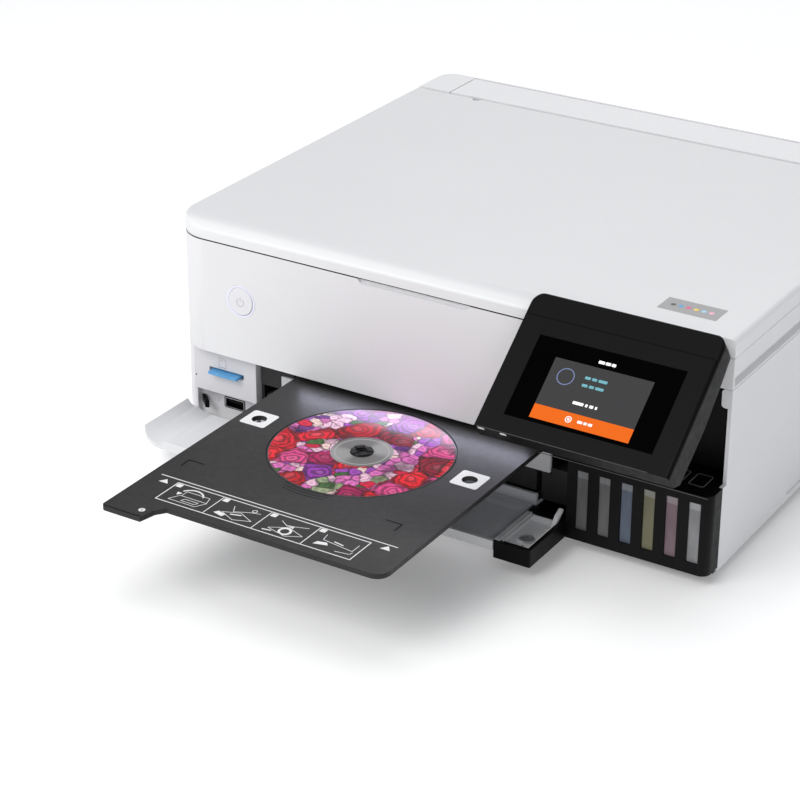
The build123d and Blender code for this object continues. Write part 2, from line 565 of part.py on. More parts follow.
# grey liner on the inside of the front cover
with BuildPart() as front_cover_liner:
    with BuildSketch(YZ.offset(-112.0)):
        with BuildLine():
            Polyline((-228.4, 15.6), (-174.4, 15.6), (-174.4, 19.2), (-180.0, 18.7), (-186.0, 18.0), (-193.0, 17.5), (-201.0, 17.2), (-228.4, 17.2), close=True)
        make_face()
    extrude(amount=73.2 + 112.0)
    # grey insert of the tub in the right end: thin wall, stepped floor, ring round the screw
    block(78.8, 99.2, -227.2, -186.7, 14.45, 19.5)
    block(78.8, 79.8, -227.2, -186.7, 14.45, 20.7)
    block(76.1, 79.8, -229.0, -186.7, 20.1, 20.7)
    block(79.8, 98.2, -226.2, -187.7, 15.4, 21.0, Mode.SUBTRACT)
    block(79.8, 98.2, -226.2, -204.0, 15.4, 16.0)
    rod_z(15.8, 17.2, 88.0, -213.0, 4.8)
    rod_z(15.2, 18.0, 88.0, -213.0, 3.5, Mode.SUBTRACT)
save(front_cover_liner, "front_cover_liner")

# black right end of the front cover: open tub with a rim
with BuildPart() as front_cover_end:
    block(75.8, 102.2, -230.6, -173.4, 8.0, 20.0)
    ev = front_cover_end.edges().filter_by(Axis.Z).group_by(Axis.Y)[0]
    fillet(ev, 0.9)
    block(78.6, 99.4, -227.4, -186.5, 14.4, 21.0, Mode.SUBTRACT)
    # clearance in front of the hinge and the round of the rear edge
    block(70.0, 104.0, -183.0, -170.0, 20.0, 21.0, Mode.SUBTRACT)
    rear = front_cover_end.edges().filter_by(Axis.X).group_by(Axis.Y)[-1]
    fillet(rear, 4.6)
    # hollow underside
    block(79.0, 99.0, -226.6, -188.0, 7.0, 12.0, Mode.SUBTRACT)
    # hinge pin into the ink unit case
    rod_x(102.0, 105.4, DOOR_Y, DOOR_Z, 2.5)
save(front_cover_end, "front_cover_end")

# disc tray
with BuildPart() as disc_tray:
    with BuildSketch(Plane.XY.offset(TRAY_TOP - TRAY_T)):
        with BuildLine():
            Polyline((TRAY_X0, TRAY_Y1), (TRAY_X1, TRAY_Y1), (TRAY_X1, TRAY_Y0), (-72.0, TRAY_Y0),
                     (-76.5, TRAY_Y0 - 6.0), (-79.0, TRAY_Y0 - 17.4), (TRAY_X0, TRAY_Y0 - 17.4), close=True)
        make_face()
    extrude(amount=TRAY_T)
    c1 = disc_tray.edges().filter_by(Axis.Z).sort_by(lambda e: e.center().X - e.center().Y)[-1]
    fillet(c1, 9.0)
    c2 = disc_tray.edges().filter_by(Axis.Z).sort_by(lambda e: -e.center().X - e.center().Y)[-1]
    fillet(c2, 3.0)
    c3 = disc_tray.edges().filter_by(Axis.Z).group_by(Axis.Y)[-1]
    fillet(c3, 5.0)
    # seat of the disc, hub with its clips, finger notches
    rod_z(TRAY_TOP - 1.4, TRAY_TOP + 1, DISC_X, DISC_Y, DISC_R + 0.6, Mode.SUBTRACT)
    rod_z(TRAY_TOP - 1.5, TRAY_TOP + 0.6, DISC_X, DISC_Y, 7.1)
    rod_z(TRAY_TOP - 0.6, TRAY_TOP + 1, DISC_X, DISC_Y, 4.6, Mode.SUBTRACT)
    # sensor windows
    for x, y in ((-93.35, -241.3), (64.2, -240.85)):
        rod_z(TRAY_TOP - 5, TRAY_TOP + 1, x, y, 5.0, Mode.SUBTRACT)
    # raised edge of the grip tab
    block(TRAY_X0 + 1.5, -80.5, TRAY_Y0 - 16.6, TRAY_Y0 - 15.4, TRAY_TOP, TRAY_TOP + 0.5)
save(disc_tray, "disc_tray")

# printable disc
with BuildPart() as disc:
    rod_z(TRAY_TOP - 1.3, TRAY_TOP - 0.1, DISC_X, DISC_Y, DISC_R)
    rod_z(TRAY_TOP - 3, TRAY_TOP + 1, DISC_X, DISC_Y, 7.5, Mode.SUBTRACT)
save(disc, "disc")

# sheet output tray with its deep front lip
with BuildPart() as output_tray:
    block(-126.0, 82.0, -168.6, -166.2, 41.4, 57.0)
    lip_end = output_tray.edges().filter_by(Axis.Z).sort_by(lambda e: e.center().X - e.center().Y)[-1]
    fillet(lip_end, 1.9)
    block(-124.0, 73.6, -166.2, -20.0, 51.4, 53.4)
    block(-124.0, -122.0, -166.2, -20.0, 53.4, 56.0)
    block(71.6, 73.6, -166.2, -20.0, 53.4, 56.0)
    for x in (-90.0, -50.0, -10.0, 30.0):
        block(x, x + 1.6, -156.0, -24.0, 53.4, 54.2)
save(output_tray, "output_tray")


def cassette(x0, x1, y0, y1, z0, z1, z_front, t):
    block(x0, x1, y0, y1, z0, z1)
    block(x0 + t, x1 - t, y0 + t + 0.6, y1 - t, z0 + t, z1 + 1, Mode.SUBTRACT)
    block(x0 - 1, x1 + 1, y0 - 1, y0 + 30.0, z_front, z1 + 1, Mode.SUBTRACT)


# upper cassette for photo sizes, nested between the side walls of the lower one
with BuildPart() as photo_cassette:
    cassette(-138.4, 72.4, -168.4, 20.0, 26.0, 40.6, 40.6, 2.0)
    block(-48.0, -18.0, -170.4, -168.4, 29.0, 32.0)
    block(-120.0, -117.0, -120.0, -20.0, 28.0, 36.0)
save(photo_cassette, "photo_cassette")

# lower cassette for A4: low front and rear walls, high side walls
with BuildPart() as paper_cassette:
    cassette(-141.0, 75.0, -172.8, 136.0, 20.2, 34.0, 25.8, 2.0)
    fcorner = paper_cassette.edges().filter_by(Axis.Y).filter_by(lambda e: abs(e.center().Z - 25.8) < 0.1 and e.center().Y < -140)
    fillet(fcorner.sort_by(Axis.X)[-1], 1.4)
    block(-139.0, 73.0, 130.0, 137.0, 25.6, 35.0, Mode.SUBTRACT)
    block(-50.0, -16.0, -172.9, -171.6, 21.4, 23.4, Mode.SUBTRACT)
    block(-118.0, -115.4, -100.0, 20.0, 22.0, 25.4)
    block(51.0, 53.6, -100.0, 20.0, 22.0, 25.4)
save(paper_cassette, "paper_cassette")

# print carriage and head
with BuildPart() as carriage:
    block(120.0, 180.0, -28.0, 43.0, 70.0, 108.0)
    block(123.0, 177.0, -25.0, 36.0, 78.0, 110.0, Mode.SUBTRACT)
    block(128.0, 172.0, 36.0, 43.5, 108.0, 111.4)
    block(126.0, 174.0, 40.0, 49.6, 96.0, 104.0)
    fillet(carriage.edges().filter_by(Axis.Z).group_by(Axis.Y)[0], 1.2)
save(carriage, "carriage")

with BuildPart() as print_head:
    block(134.0, 166.0, -20.0, 20.0, 65.6, 70.0)
    block(126.0, 174.0, -22.0, 32.0, 78.2, 100.0)
    block(138.0, 162.0, -16.0, 16.0, 65.2, 65.6)
save(print_head, "print_head")

# touch panel, drawn closed and turned up to its rest tilt
P_AX = Axis((0, PANEL_Y, PANEL_Z), (-1, 0, 0))


def up(z):
    return 162.0 - z


with BuildPart() as panel_raw:
    with BuildSketch(YZ.offset(PX0)):
        with BuildLine():
            Polyline((Y_BLACK, PANEL_BOT), (Y_BLACK, H), (Y_BLACK + 3.0, H), (Y_BLACK + PANEL_T, 156.7),
                     (Y_BLACK + PANEL_T, 67.6), (Y_BLACK + PANEL_T - 2.8, PANEL_BOT), close=True)
        make_face()
    extrude(amount=PX1 - PX0)
    # deeper right end
    with BuildSketch(YZ.offset(189.4)):
        with BuildLine():
            Polyline((Y_BLACK + 4.0, PANEL_BOT), (-172.0, PANEL_BOT), (-164.8, 70.6), (-163.7, 109.4), (-167.2, 138.9),
                     (-169.6, 152.0), (Y_BLACK + 4.0, 152.0), close=True)
        make_face()
    extrude(amount=PX1 - 189.4)
    # soft vertical front edge on the right, soft upper front edge
    fe = panel_raw.edges().filter_by(Axis.Z).group_by(Axis.Y)[0].sort_by(Axis.X)[-1]
    fillet(fe, 2.4)
    fu = panel_raw.edges().filter_by(Axis.X).filter_by(lambda e: abs(e.center().Y - Y_BLACK) < 0.05 and e.center().Z > 160)
    fillet(fu, 1.6)
    # round upper corners
    for x0, sx in ((PX0, 1), (PX1, -1)):
        with BuildSketch(Plane.XZ.offset(190.0)):
            with Locations((x0 + sx * 4.0, H - 4.0)):
                Rectangle(10.0, 10.0)
            with Locations((x0 + sx * 9.0, H - 9.0)):
                Circle(9.0, mode=Mode.SUBTRACT)
        extrude(amount=-40.0, mode=Mode.SUBTRACT)
    # pockets for the two hinge brackets, with the pins left in them
    for x in (88.0, 176.0):
        block(x, x + 12.0, -177.6, -168.0, 143.4, 160.2, Mode.SUBTRACT)
    for x in (88.0, 176.0):
        block(x, x + 12.0, -181.0, -177.0, 157.0, 165.0, Mode.SUBTRACT)
        rod_x(x - 1.0, x + 13.0, PANEL_Y, PANEL_Z, 1.75)
    # hollow for the display unit, open to the front
    block(85.6, 185.3, Y_BLACK - 1, Y_BLACK + 1.3, 76.8, 133.8, Mode.SUBTRACT)
    block(90.0, 181.0, Y_BLACK + 1.0, Y_BLACK + 9.5, 80.5, 130.5, Mode.SUBTRACT)
    # fine groove that crosses the front above the glass
    block(PX0 - 1, PX1 + 1, Y_BLACK - 1, Y_BLACK + 0.35, 145.5, 145.9, Mode.SUBTRACT)
with BuildPart() as panel_housing:
    add(panel_raw.part.rotate(P_AX, TILT))
save(panel_housing, "panel_housing")

with BuildPart() as glass_raw:
    block(85.7, 185.2, Y_BLACK + 0.1, Y_BLACK + 1.2, 76.9, 133.7)
with BuildPart() as touch_glass:
    add(glass_raw.part.rotate(P_AX, TILT))
save(touch_glass, "touch_glass")

with BuildPart() as display_raw:
    block(90.4, 180.6, Y_BLACK + 1.25, Y_BLACK + 6.0, 80.9, 130.1)
    block(94.0, 177.0, Y_BLACK + 6.0, Y_BLACK + 9.0, 84.0, 127.0)
with BuildPart() as display_module:
    add(display_raw.part.rotate(P_AX, TILT))
save(display_module, "display_module")

# scanner unit: tray-shaped lower case, hinge ears, panel brackets
SC_T = 150.0 - 0.3
with BuildPart() as scanner_base:
    with BuildSketch(Plane.XY.offset(Z_SCAN)):
        with Locations((XM, (CY + 2.0 + 140.2) / 2)):
            Rectangle(W, 140.2 - CY - 2.0)
        with Locations(((XL + 5.5 + HW) / 2, (-163.0 + CY + 3.0) / 2)):
            Rectangle(HW - XL - 5.5, CY + 3.0 + 163.0)
        with Locations(((CX + 1.0 + 69.4) / 2, (-174.8 - 155.0) / 2)):
            Rectangle(69.4 - CX - 1.0, 19.8)
        with Locations((CX + 1.0, CY + 0.2)):
            Circle(R_CORNER - 4.5)
    extrude(amount=SC_T - Z_SCAN)
    # inner room of the scan carriage, light opening of the glass
    block(XL + 12.5, 189.0, -140.0, 126.0, Z_SCAN + 2.6, 146.6, Mode.SUBTRACT)
    block(-152.0, 152.0, -118.0, 104.0, 146.0, 151.0, Mode.SUBTRACT)
    block(-156.0, 156.0, -122.0, 108.0, 146.7, 151.0, Mode.SUBTRACT)
    # hollow front and sides to keep walls even
    block(-160.0, 66.0, -172.3, -143.0, Z_SCAN + 2.6, 146.6, Mode.SUBTRACT)
    # finger hollows along the right and left sides
    for xf, s in ((HW, 1), (XL, -1)):
        with BuildSketch(Plane.XZ.offset(161.0 if s > 0 else 140.0)):
            with BuildLine():
                Polyline((xf + s, 138.2), (xf, 137.2), (xf - s * 3.4, 132.4), (xf - s * 3.4, 131.6), (xf, 130.2), (xf + s, 130.2), close=True)
            make_face()
        extrude(amount=-290.0 if s > 0 else -269.0, mode=Mode.SUBTRACT)
    # slots that let the fixed hinge ears pass
    # ears on the hinge line
    for s in (-1, 1):
        xa, xb = (155.0, 159.0) if s > 0 else (-159.0, -155.0)
        block(xa, xb, HINGE_Y - 2.0, HINGE_Y + 2.0, SC_T - 1.0, HINGE_Z)
        rod_x(xa, xb, HINGE_Y, HINGE_Z, 2.0)
        rod_x(xa - 1, xb + 1, HINGE_Y, HINGE_Z, 1.26, Mode.SUBTRACT)
    # brackets that carry the touch panel
    for x in (90.0, 178.0):
        with BuildSketch(YZ.offset(x)):
            with BuildLine():
                Polyline((-162.0, 144.4), (-162.0, SC_T), (-165.8, SC_T), (-168.4, 152.2), (-172.2, 155.8),
                         (-175.4, 152.4), (-173.6, 149.6), (-167.0, 145.4), close=True)
            make_face()
        extrude(amount=8.0)
        rod_x(x, x + 8.0, PANEL_Y, PANEL_Z, 3.6)
        rod_x(x - 1, x + 9.0, PANEL_Y, PANEL_Z, 1.8, Mode.SUBTRACT)
save(scanner_base, "scanner_base")

# glass of the scanner
with BuildPart() as scanner_glass:
    block(-155.8, 155.8, -121.8, 107.8, 146.8, 149.6)
save(scanner_glass, "scanner_glass")

# scan carriage bar
with BuildPart() as scan_carriage:
    block(-182.0, -164.0, -130.0, 116.0, 134.0, 143.0)
    block(-178.0, -168.0, -126.0, 112.0, 143.0, 145.8)
    fillet(scan_carriage.edges().filter_by(Axis.Z), 1.5)
save(scan_carriage, "scan_carriage")

# document cover: soft upper edges, notch for the touch panel
LID_REAR = 140.4
with BuildPart() as document_cover:
    with BuildSketch(Plane.XY.offset(Z_LID)):
        with BuildLine():
            Line((XL, LID_REAR), (XL, CY))
            RadiusArc((XL, CY), (CX, Y_WHITE), -R_CORNER)
            Line((CX, Y_WHITE), (NOTCH_X, Y_WHITE))
            Line((NOTCH_X, Y_WHITE), (NOTCH_X, Y_NOTCH))
            Line((NOTCH_X, Y_NOTCH), (HW, Y_NOTCH))
            Line((HW, Y_NOTCH), (HW, LID_REAR))
            Line((HW, LID_REAR), (XL, LID_REAR))
        make_face()
    extrude(amount=H - Z_LID)
    # crowned front part of the top
    with BuildSketch(YZ.offset(XL - 1)):
        with BuildLine():
            Polyline((Y_WHITE + LID_RUN, H), (Y_WHITE + LID_RUN, H + 1), (Y_WHITE - 1, H + 1), (Y_WHITE - 1, H - LID_DROP), (Y_WHITE, H - LID_DROP), close=False)
            RadiusArc((Y_WHITE, H - LID_DROP), (Y_WHITE + LID_RUN, H), (LID_RUN ** 2 + LID_DROP ** 2) / (2 * LID_DROP))
        make_face()
    extrude(amount=NOTCH_X + 1 - XL + 1, mode=Mode.SUBTRACT)
    # soft upper edges on the front, left and right
    top_face = document_cover.faces().sort_by(Axis.Z)[-1]
    rim = [e for e in document_cover.edges() if e.bounding_box().min.Z > H - LID_DROP - 0.2
           and (e.center().X < XL + 24 or e.center().Y < Y_WHITE + 0.4 or e.center().X > HW - 0.4)
           and not (abs(e.center().Y - (Y_WHITE + LID_RUN)) < 0.3)]
    fillet(rim, LID_R1)
    # round of the rear edge about the hinge line
    back_top = document_cover.edges().filter_by(Axis.X).group_by(Axis.Y)[-1].sort_by(Axis.Z)[-1]
    fillet(back_top, HINGE_R)
    # slanted rear lower edge, which swings past the scanner's top
    with BuildSketch(YZ.offset(XL - 1)):
        with BuildLine():
            Polyline((LID_REAR - 3.6, Z_LID - 0.5), (LID_REAR + 1.0, Z_LID - 0.5), (LID_REAR + 1.0, Z_LID + 4.6), (LID_REAR - 3.6, Z_LID - 0.5))
        make_face()
    extrude(amount=W + 2, mode=Mode.SUBTRACT)
    # the ends of that edge slant further, clear of the side walls
    for xa in (XL - 1.0, HW - 4.6):
        with BuildSketch(YZ.offset(xa)):
            with BuildLine():
                Polyline((LID_REAR - 5.6, Z_LID - 0.5), (LID_REAR + 1.0, Z_LID - 0.5), (LID_REAR + 1.0, Z_LID + 8.6), (LID_REAR - 5.6, Z_LID - 0.5))
            make_face()
        extrude(amount=5.6, mode=Mode.SUBTRACT)
    # room for the pad, hollow above it
    block(-176.0, 176.0, -140.0, 118.0, Z_LID - 1, Z_LID + 6.0, Mode.SUBTRACT)
    block(-160.0, 50.0, -158.0, -144.0, Z_LID - 1, Z_LID + 6.0, Mode.SUBTRACT)
    # pockets for the ears of the hinge, and the lid's own knuckle beside them
    for s in (-1, 1):
        xa, xb = (149.4, 159.6) if s > 0 else (-159.6, -149.4)
        block(xa, xb, 133.0, 142.0, Z_LID - 1, 161.3, Mode.SUBTRACT)
        xe, xf = (149.4, 154.6) if s > 0 else (-154.6, -149.4)
        block(xe, xf, 134.6, 142.0, 158.0, 163.0, Mode.SUBTRACT)
        rod_x(min(s * 139.0, s * 149.5), max(s * 139.0, s * 149.5), HINGE_Y, HINGE_Z, 1.26, Mode.SUBTRACT)
        rod_x(min(s * 159.5, s * 165.0), max(s * 159.5, s * 165.0), HINGE_Y, HINGE_Z, 1.26, Mode.SUBTRACT)
save(document_cover, "document_cover")

# foam pad with a white sheet under the lid
with BuildPart() as cover_pad:
    block(-152.0, 152.0, -118.0, 104.0, Z_LID + 0.2, Z_LID + 6.0)
save(cover_pad, "cover_pad")

# cover of the filler caps, under the scanner unit
with BuildPart() as tank_cover:
    block(104.6, 198.4, -150.0, -90.4, 66.0, 127.6)
    block(106.8, 196.2, -147.8, -80.0, 60.0, 125.4, Mode.SUBTRACT)
    block(104.0, 199.0, -93.5, -80.0, 60.0, 108.0, Mode.SUBTRACT)
    # ribs that hold the hinge pins on both sides of each lug
    for x in (113.5, 183.5):
        block(x - 3.4, x - 0.5, -96.0, -90.4, 109.8, 126.0)
        block(x + 6.5, x + 9.4, -96.0, -90.4, 109.8, 126.0)
        rod_x(x - 2.0, x + 8.0, TC_Y, TC_Z, 1.5)
    # finger lip
    block(136.0, 166.0, -152.0, -150.0, 116.0, 118.0)
save(tank_cover, "tank_cover")

# rear feed cover, flush with the top
RF_Y, RF_Z = 178.6, 160.3
with BuildPart() as rear_feed_cover:
    block(-177.8, 177.8, 141.4, 180.3, 158.6, H)
    fillet(rear_feed_cover.edges().filter_by(Axis.X).group_by(Axis.Y)[-1], 1.3)
    block(-120.6, 120.6, 140.0, 174.0, 158.0, 160.3, Mode.SUBTRACT)
    rod_x(-181.5, -177.0, RF_Y, RF_Z, 0.95)
    rod_x(177.0, 181.5, RF_Y, RF_Z, 0.95)
save(rear_feed_cover, "rear_feed_cover")

# pull-out paper support, stowed under the rear feed cover
with BuildPart() as paper_support:
    block(-120.0, 120.0, 141.8, 173.6, 158.9, 160.0)
    fillet(paper_support.edges().filter_by(Axis.Z), 3.0)
save(paper_support, "paper_support")

# sliding edge guides of the rear feeder
for name, s in (("edge_guide_left", -1), ("edge_guide_right", 1)):
    with BuildPart() as guide:
        xa, xb = (106.0, 108.0) if s > 0 else (-108.0, -106.0)
        with BuildSketch(YZ.offset(xa)):
            with BuildLine():
                Polyline((176.3, 156.0), (163.0, 156.0), (145.6, 128.0), (145.6, 117.0), (152.0, 117.0), close=True)
            make_face()
        extrude(amount=2.0)
        xc, xd = (106.0, 126.0) if s > 0 else (-126.0, -106.0)
        with BuildSketch(YZ.offset(xc)):
            with BuildLine():
                Polyline((176.3, 156.0), (174.3, 156.0), (150.0, 117.0), (152.0, 117.0), close=True)
            make_face()
        extrude(amount=20.0)
    save(guide, name)
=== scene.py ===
import math

import bpy
from mathutils import Matrix, Vector


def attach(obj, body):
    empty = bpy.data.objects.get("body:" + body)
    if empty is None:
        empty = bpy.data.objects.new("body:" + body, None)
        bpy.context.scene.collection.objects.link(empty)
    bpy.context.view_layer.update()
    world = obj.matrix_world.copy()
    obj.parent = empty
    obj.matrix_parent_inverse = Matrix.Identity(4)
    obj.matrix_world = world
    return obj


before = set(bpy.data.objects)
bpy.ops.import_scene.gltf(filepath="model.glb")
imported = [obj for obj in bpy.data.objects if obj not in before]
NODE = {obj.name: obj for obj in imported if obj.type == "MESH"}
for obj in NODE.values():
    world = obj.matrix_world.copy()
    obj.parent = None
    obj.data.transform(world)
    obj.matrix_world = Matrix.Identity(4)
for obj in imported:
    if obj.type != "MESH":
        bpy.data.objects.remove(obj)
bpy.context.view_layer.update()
MM = 0.001

# ---------------------------------------------------------------- camera
scene = bpy.context.scene
az, el, roll = math.radians(31.02), math.radians(24.557), math.radians(0.525)
back = Vector((math.sin(az) * math.cos(el), -math.cos(az) * math.cos(el), math.sin(el)))
right0 = Vector((math.cos(az), math.sin(az), 0.0))
up0 = back.cross(right0)
right = right0 * math.cos(roll) + up0 * math.sin(roll)
up = up0 * math.cos(roll) - right0 * math.sin(roll)
cam_data = bpy.data.cameras.new("camera")
cam = bpy.data.objects.new("camera", cam_data)
scene.collection.objects.link(cam)
cam.matrix_world = Matrix((
    (right.x, up.x, back.x, 0.702472),
    (right.y, up.y, back.y, -1.356732),
    (right.z, up.z, back.z, 0.750742),
    (0, 0, 0, 1)))
cam_data.sensor_width = 36.0
cam_data.lens = 2357.943 * 36.0 / 800.0
cam_data.shift_x = -25.605 / 800.0
cam_data.shift_y = -(400.0 - 333.008) / 800.0
cam_data.clip_start, cam_data.clip_end = 0.05, 50.0
scene.camera = cam
scene.view_settings.view_transform = "Standard"

# ---------------------------------------------------------------- node helpers


class Mat:
    """A Principled material with a few shorthand calls for its nodes."""

    def __init__(self, name, **sockets):
        self.m = bpy.data.materials.new(name)
        self.m.use_nodes = True
        self.nt = self.m.node_tree
        self.b = self.nt.nodes["Principled BSDF"]
        self._coord = None
        for k, v in sockets.items():
            self.set(k.replace("_", " "), v)

    def set(self, key, value):
        s = self.b.inputs[key]
        if hasattr(value, "is_linked"):
            self.nt.links.new(value, s)
        elif isinstance(value, (tuple, list)) and len(value) == 3 and s.type == "RGBA":
            s.default_value = (*value, 1.0)
        else:
            s.default_value = value

    def node(self, kind, props=None, **inputs):
        n = self.nt.nodes.new("ShaderNode" + kind)
        for k, v in (props or {}).items():
            setattr(n, k, v)
        for k, v in inputs.items():
            key = int(k[1:]) if k[0] == "i" and k[1:].isdigit() else k.replace("_", " ")
            s = n.inputs[key]
            if hasattr(v, "is_linked"):
                self.nt.links.new(v, s)
            elif isinstance(v, (tuple, list)) and len(v) == 3 and s.type == "RGBA":
                s.default_value = (*v, 1.0)
            else:
                s.default_value = v
        return n

    def coord(self):
        if self._coord is None:
            self._coord = self.nt.nodes.new("ShaderNodeTexCoord").outputs["Object"]
        return self._coord

    def noise(self, scale, detail=2.0, rough=0.5, vec=None, dist=0.0):
        return self.node("TexNoise", Vector=vec or self.coord(), Scale=scale, Detail=detail,
                         Roughness=rough, Distortion=dist).outputs["Fac"]

    def ramp(self, fac, stops, interp="LINEAR"):
        n = self.node("ValToRGB", Fac=fac)
        n.color_ramp.interpolation = interp
        e = n.color_ramp.elements
        while len(e) < len(stops):
            e.new(0.5)
        for x, (p, c) in zip(e, stops):
            x.position = p
            x.color = (*c, 1.0) if len(c) == 3 else c
        return n.outputs["Color"]

    def math(self, op, a, b=None, c=None, clamp=False):
        n = self.nt.nodes.new("ShaderNodeMath")
        n.operation = op
        n.use_clamp = clamp
        for i, v in enumerate((a, b, c)):
            if v is None:
                continue
            if hasattr(v, "is_linked"):
                self.nt.links.new(v, n.inputs[i])
            else:
                n.inputs[i].default_value = v
        return n.outputs[0]

    def mix(self, fac, a, b, mode="MIX"):
        n = self.nt.nodes.new("ShaderNodeMix")
        n.data_type = "RGBA"
        n.blend_type = mode
        for key, v in ((0, fac), (6, a), (7, b)):
            s = n.inputs[key]
            if hasattr(v, "is_linked"):
                self.nt.links.new(v, s)
            elif isinstance(v, (tuple, list)) and len(v) == 3:
                s.default_value = (*v, 1.0)
            else:
                s.default_value = v
        return n.outputs[2]

    def map(self, value, a, b, c, d, smooth=False):
        n = self.nt.nodes.new("ShaderNodeMapRange")
        if smooth:
            n.interpolation_type = "SMOOTHSTEP"
        self.nt.links.new(value, n.inputs["Value"])
        for k, v in (("From Min", a), ("From Max", b), ("To Min", c), ("To Max", d)):
            n.inputs[k].default_value = v
        return n.outputs["Result"]

    def bump(self, height, strength, dist, normal=None):
        n = self.node("Bump", Height=height, Strength=strength, Distance=dist)
        if normal is not None:
            self.nt.links.new(normal, n.inputs["Normal"])
        return n.outputs["Normal"]


def scaled(c, k):
    return tuple(min(1.0, x * k) for x in c)


def plastic(name, color, rough=0.45, vary=0.03, grain=0.4, bump=0.12, spec=0.45, rough_vary=0.05, dust=0.0, coat=0.0, coat_rough=0.2):
    """Moulded plastic: fine spark-eroded grain, faint drift of tone and gloss, a trace of dust."""
    m = Mat(name, Specular_IOR_Level=spec)
    slow = m.noise(9.0, 3.0)
    mid = m.noise(160.0, 4.0, 0.6)
    base = m.ramp(slow, [(0.3, scaled(color, 1.0 - vary)), (0.7, scaled(color, 1.0 + vary))])
    base = m.mix(m.map(mid, 0.35, 0.75, 0.0, 0.35), base, scaled(color, 1.0 - 1.5 * vary))
    if dust:
        specks = m.noise(900.0, 5.0, 0.7)
        base = m.mix(m.map(specks, 0.66, 0.80, 0.0, dust), base, (0.45, 0.44, 0.42))
    m.set("Base Color", base)
    m.set("Roughness", m.map(mid, 0.3, 0.7, rough - rough_vary, rough + rough_vary))
    if coat:
        m.set("Coat Weight", coat)
        m.set("Coat Roughness", coat_rough)
    fine = m.noise(1.0 / (grain * MM), 2.0, 0.6)
    m.set("Normal", m.bump(fine, bump, 0.0001))
    return m.m


def metal(name, color, rough=0.3, stretch=(1, 1, 1), bump=0.1):
    m = Mat(name, Metallic=1.0)
    v = m.node("Mapping", Vector=m.coord(), Scale=stretch).outputs["Vector"]
    n1 = m.noise(600.0, 4.0, 0.6, v)
    n2 = m.noise(25.0, 3.0, 0.5)
    m.set("Base Color", m.ramp(n2, [(0.3, scaled(color, 0.88)), (0.7, scaled(color, 1.05))]))
    m.set("Roughness", m.map(n1, 0.3, 0.7, rough - 0.08, rough + 0.1))
    m.set("Normal", m.bump(n1, bump, 0.00008))
    return m.m


# ---------------------------------------------------------------- materials
WHITE = (0.735, 0.735, 0.75)
m_white = plastic("white_shell", WHITE, 0.42, 0.008, 0.35, 0.10, 0.45, 0.04)
m_white_lid = plastic("white_lid", (0.665, 0.67, 0.682), 0.46, 0.008, 0.35, 0.14, 0.45, 0.04)
# painted highlight: the lid's rounded edge is coloured a little brighter than its top
nt = m_white_lid.node_tree
lid_bsdf = nt.nodes["Principled BSDF"]
lid_base = lid_bsdf.inputs["Base Color"].links[0].from_socket
lid_z = nt.nodes.new("ShaderNodeSeparateXYZ")
nt.links.new(nt.nodes.new("ShaderNodeTexCoord").outputs["Object"], lid_z.inputs[0])
lid_painted_highlight = nt.nodes.new("ShaderNodeMapRange")
lid_painted_highlight.interpolation_type = "SMOOTHSTEP"
for key, value in (("From Min", 0.1596), ("From Max", 0.1619), ("To Min", 1.0), ("To Max", 0.0)):
    lid_painted_highlight.inputs[key].default_value = value
nt.links.new(lid_z.outputs["Z"], lid_painted_highlight.inputs["Value"])
lid_highlight_mix = nt.nodes.new("ShaderNodeMix")
lid_highlight_mix.data_type = "RGBA"
nt.links.new(lid_painted_highlight.outputs["Result"], lid_highlight_mix.inputs[0])
nt.links.new(lid_base, lid_highlight_mix.inputs[6])
lid_highlight_mix.inputs[7].default_value = (0.76, 0.765, 0.775, 1.0)
nt.links.new(lid_highlight_mix.outputs[2], lid_bsdf.inputs["Base Color"])
# painted shade: a darker copy of the white shell for the card panel
m_white_card_shaded = plastic("white_card_painted_shade", (0.625, 0.62, 0.64), 0.42, 0.008, 0.35, 0.10, 0.45, 0.04)
m_white_in = plastic("white_inner", (0.76, 0.76, 0.765), 0.5, 0.012, 0.5, 0.10, 0.4)
m_black = plastic("black_shell", (0.0034, 0.0034, 0.0035), 0.44, 0.10, 0.30, 0.20, 0.10, 0.06, dust=0.02)
m_black_ink = plastic("black_ink_unit", (0.0032, 0.0032, 0.0034), 0.42, 0.10, 0.30, 0.18, 0.12, 0.06, dust=0.02)
m_dark = plastic("dark_inner", (0.018, 0.018, 0.019), 0.55, 0.12, 0.6, 0.20, 0.35, dust=0.03)
m_grey = plastic("grey_inner", (0.10, 0.105, 0.11), 0.5, 0.06, 0.5, 0.15, 0.4)
m_lightgrey = plastic("light_grey", (0.60, 0.60, 0.615), 0.42, 0.03, 0.5, 0.12, 0.4)
# LINER and TUB hold the liner's blue-grey and the tub insert's pale grey, both lifted well above their own tone as
# painted light standing in for fill that the tray shades off
LINER, TUB, PIT = (0.62, 0.635, 0.665), (0.80, 0.805, 0.82), (0.018, 0.018, 0.019)


def zoned(name, base, zones, rough=0.42):
    """Moulded plastic whose pieces of colour follow boxes in the part's own coordinates, in mm."""
    m = Mat(name, Specular_IOR_Level=0.4)
    sep = m.node("SeparateXYZ", Vector=m.coord())
    slow, mid = m.noise(9.0, 3.0), m.noise(160.0, 4.0, 0.6)

    def toned(c):
        return m.mix(m.map(mid, 0.35, 0.75, 0.0, 0.35), m.ramp(slow, [(0.3, scaled(c, 0.95)), (0.7, scaled(c, 1.05))]), scaled(c, 0.92))

    col = toned(base)
    for color, lo, hi in zones:
        inside = None
        for axis, a, b in zip("XYZ", lo, hi):
            v = sep.outputs[axis]
            t = m.math("MULTIPLY", m.math("GREATER_THAN", v, a * MM), m.math("LESS_THAN", v, b * MM))
            inside = t if inside is None else m.math("MULTIPLY", inside, t)
        col = m.mix(inside, col, toned(color))
    m.set("Base Color", col)
    m.set("Roughness", m.map(mid, 0.3, 0.7, rough - 0.05, rough + 0.05))
    m.set("Normal", m.bump(m.noise(2000.0, 2.0, 0.6), 0.12, 0.0001))
    return m.m


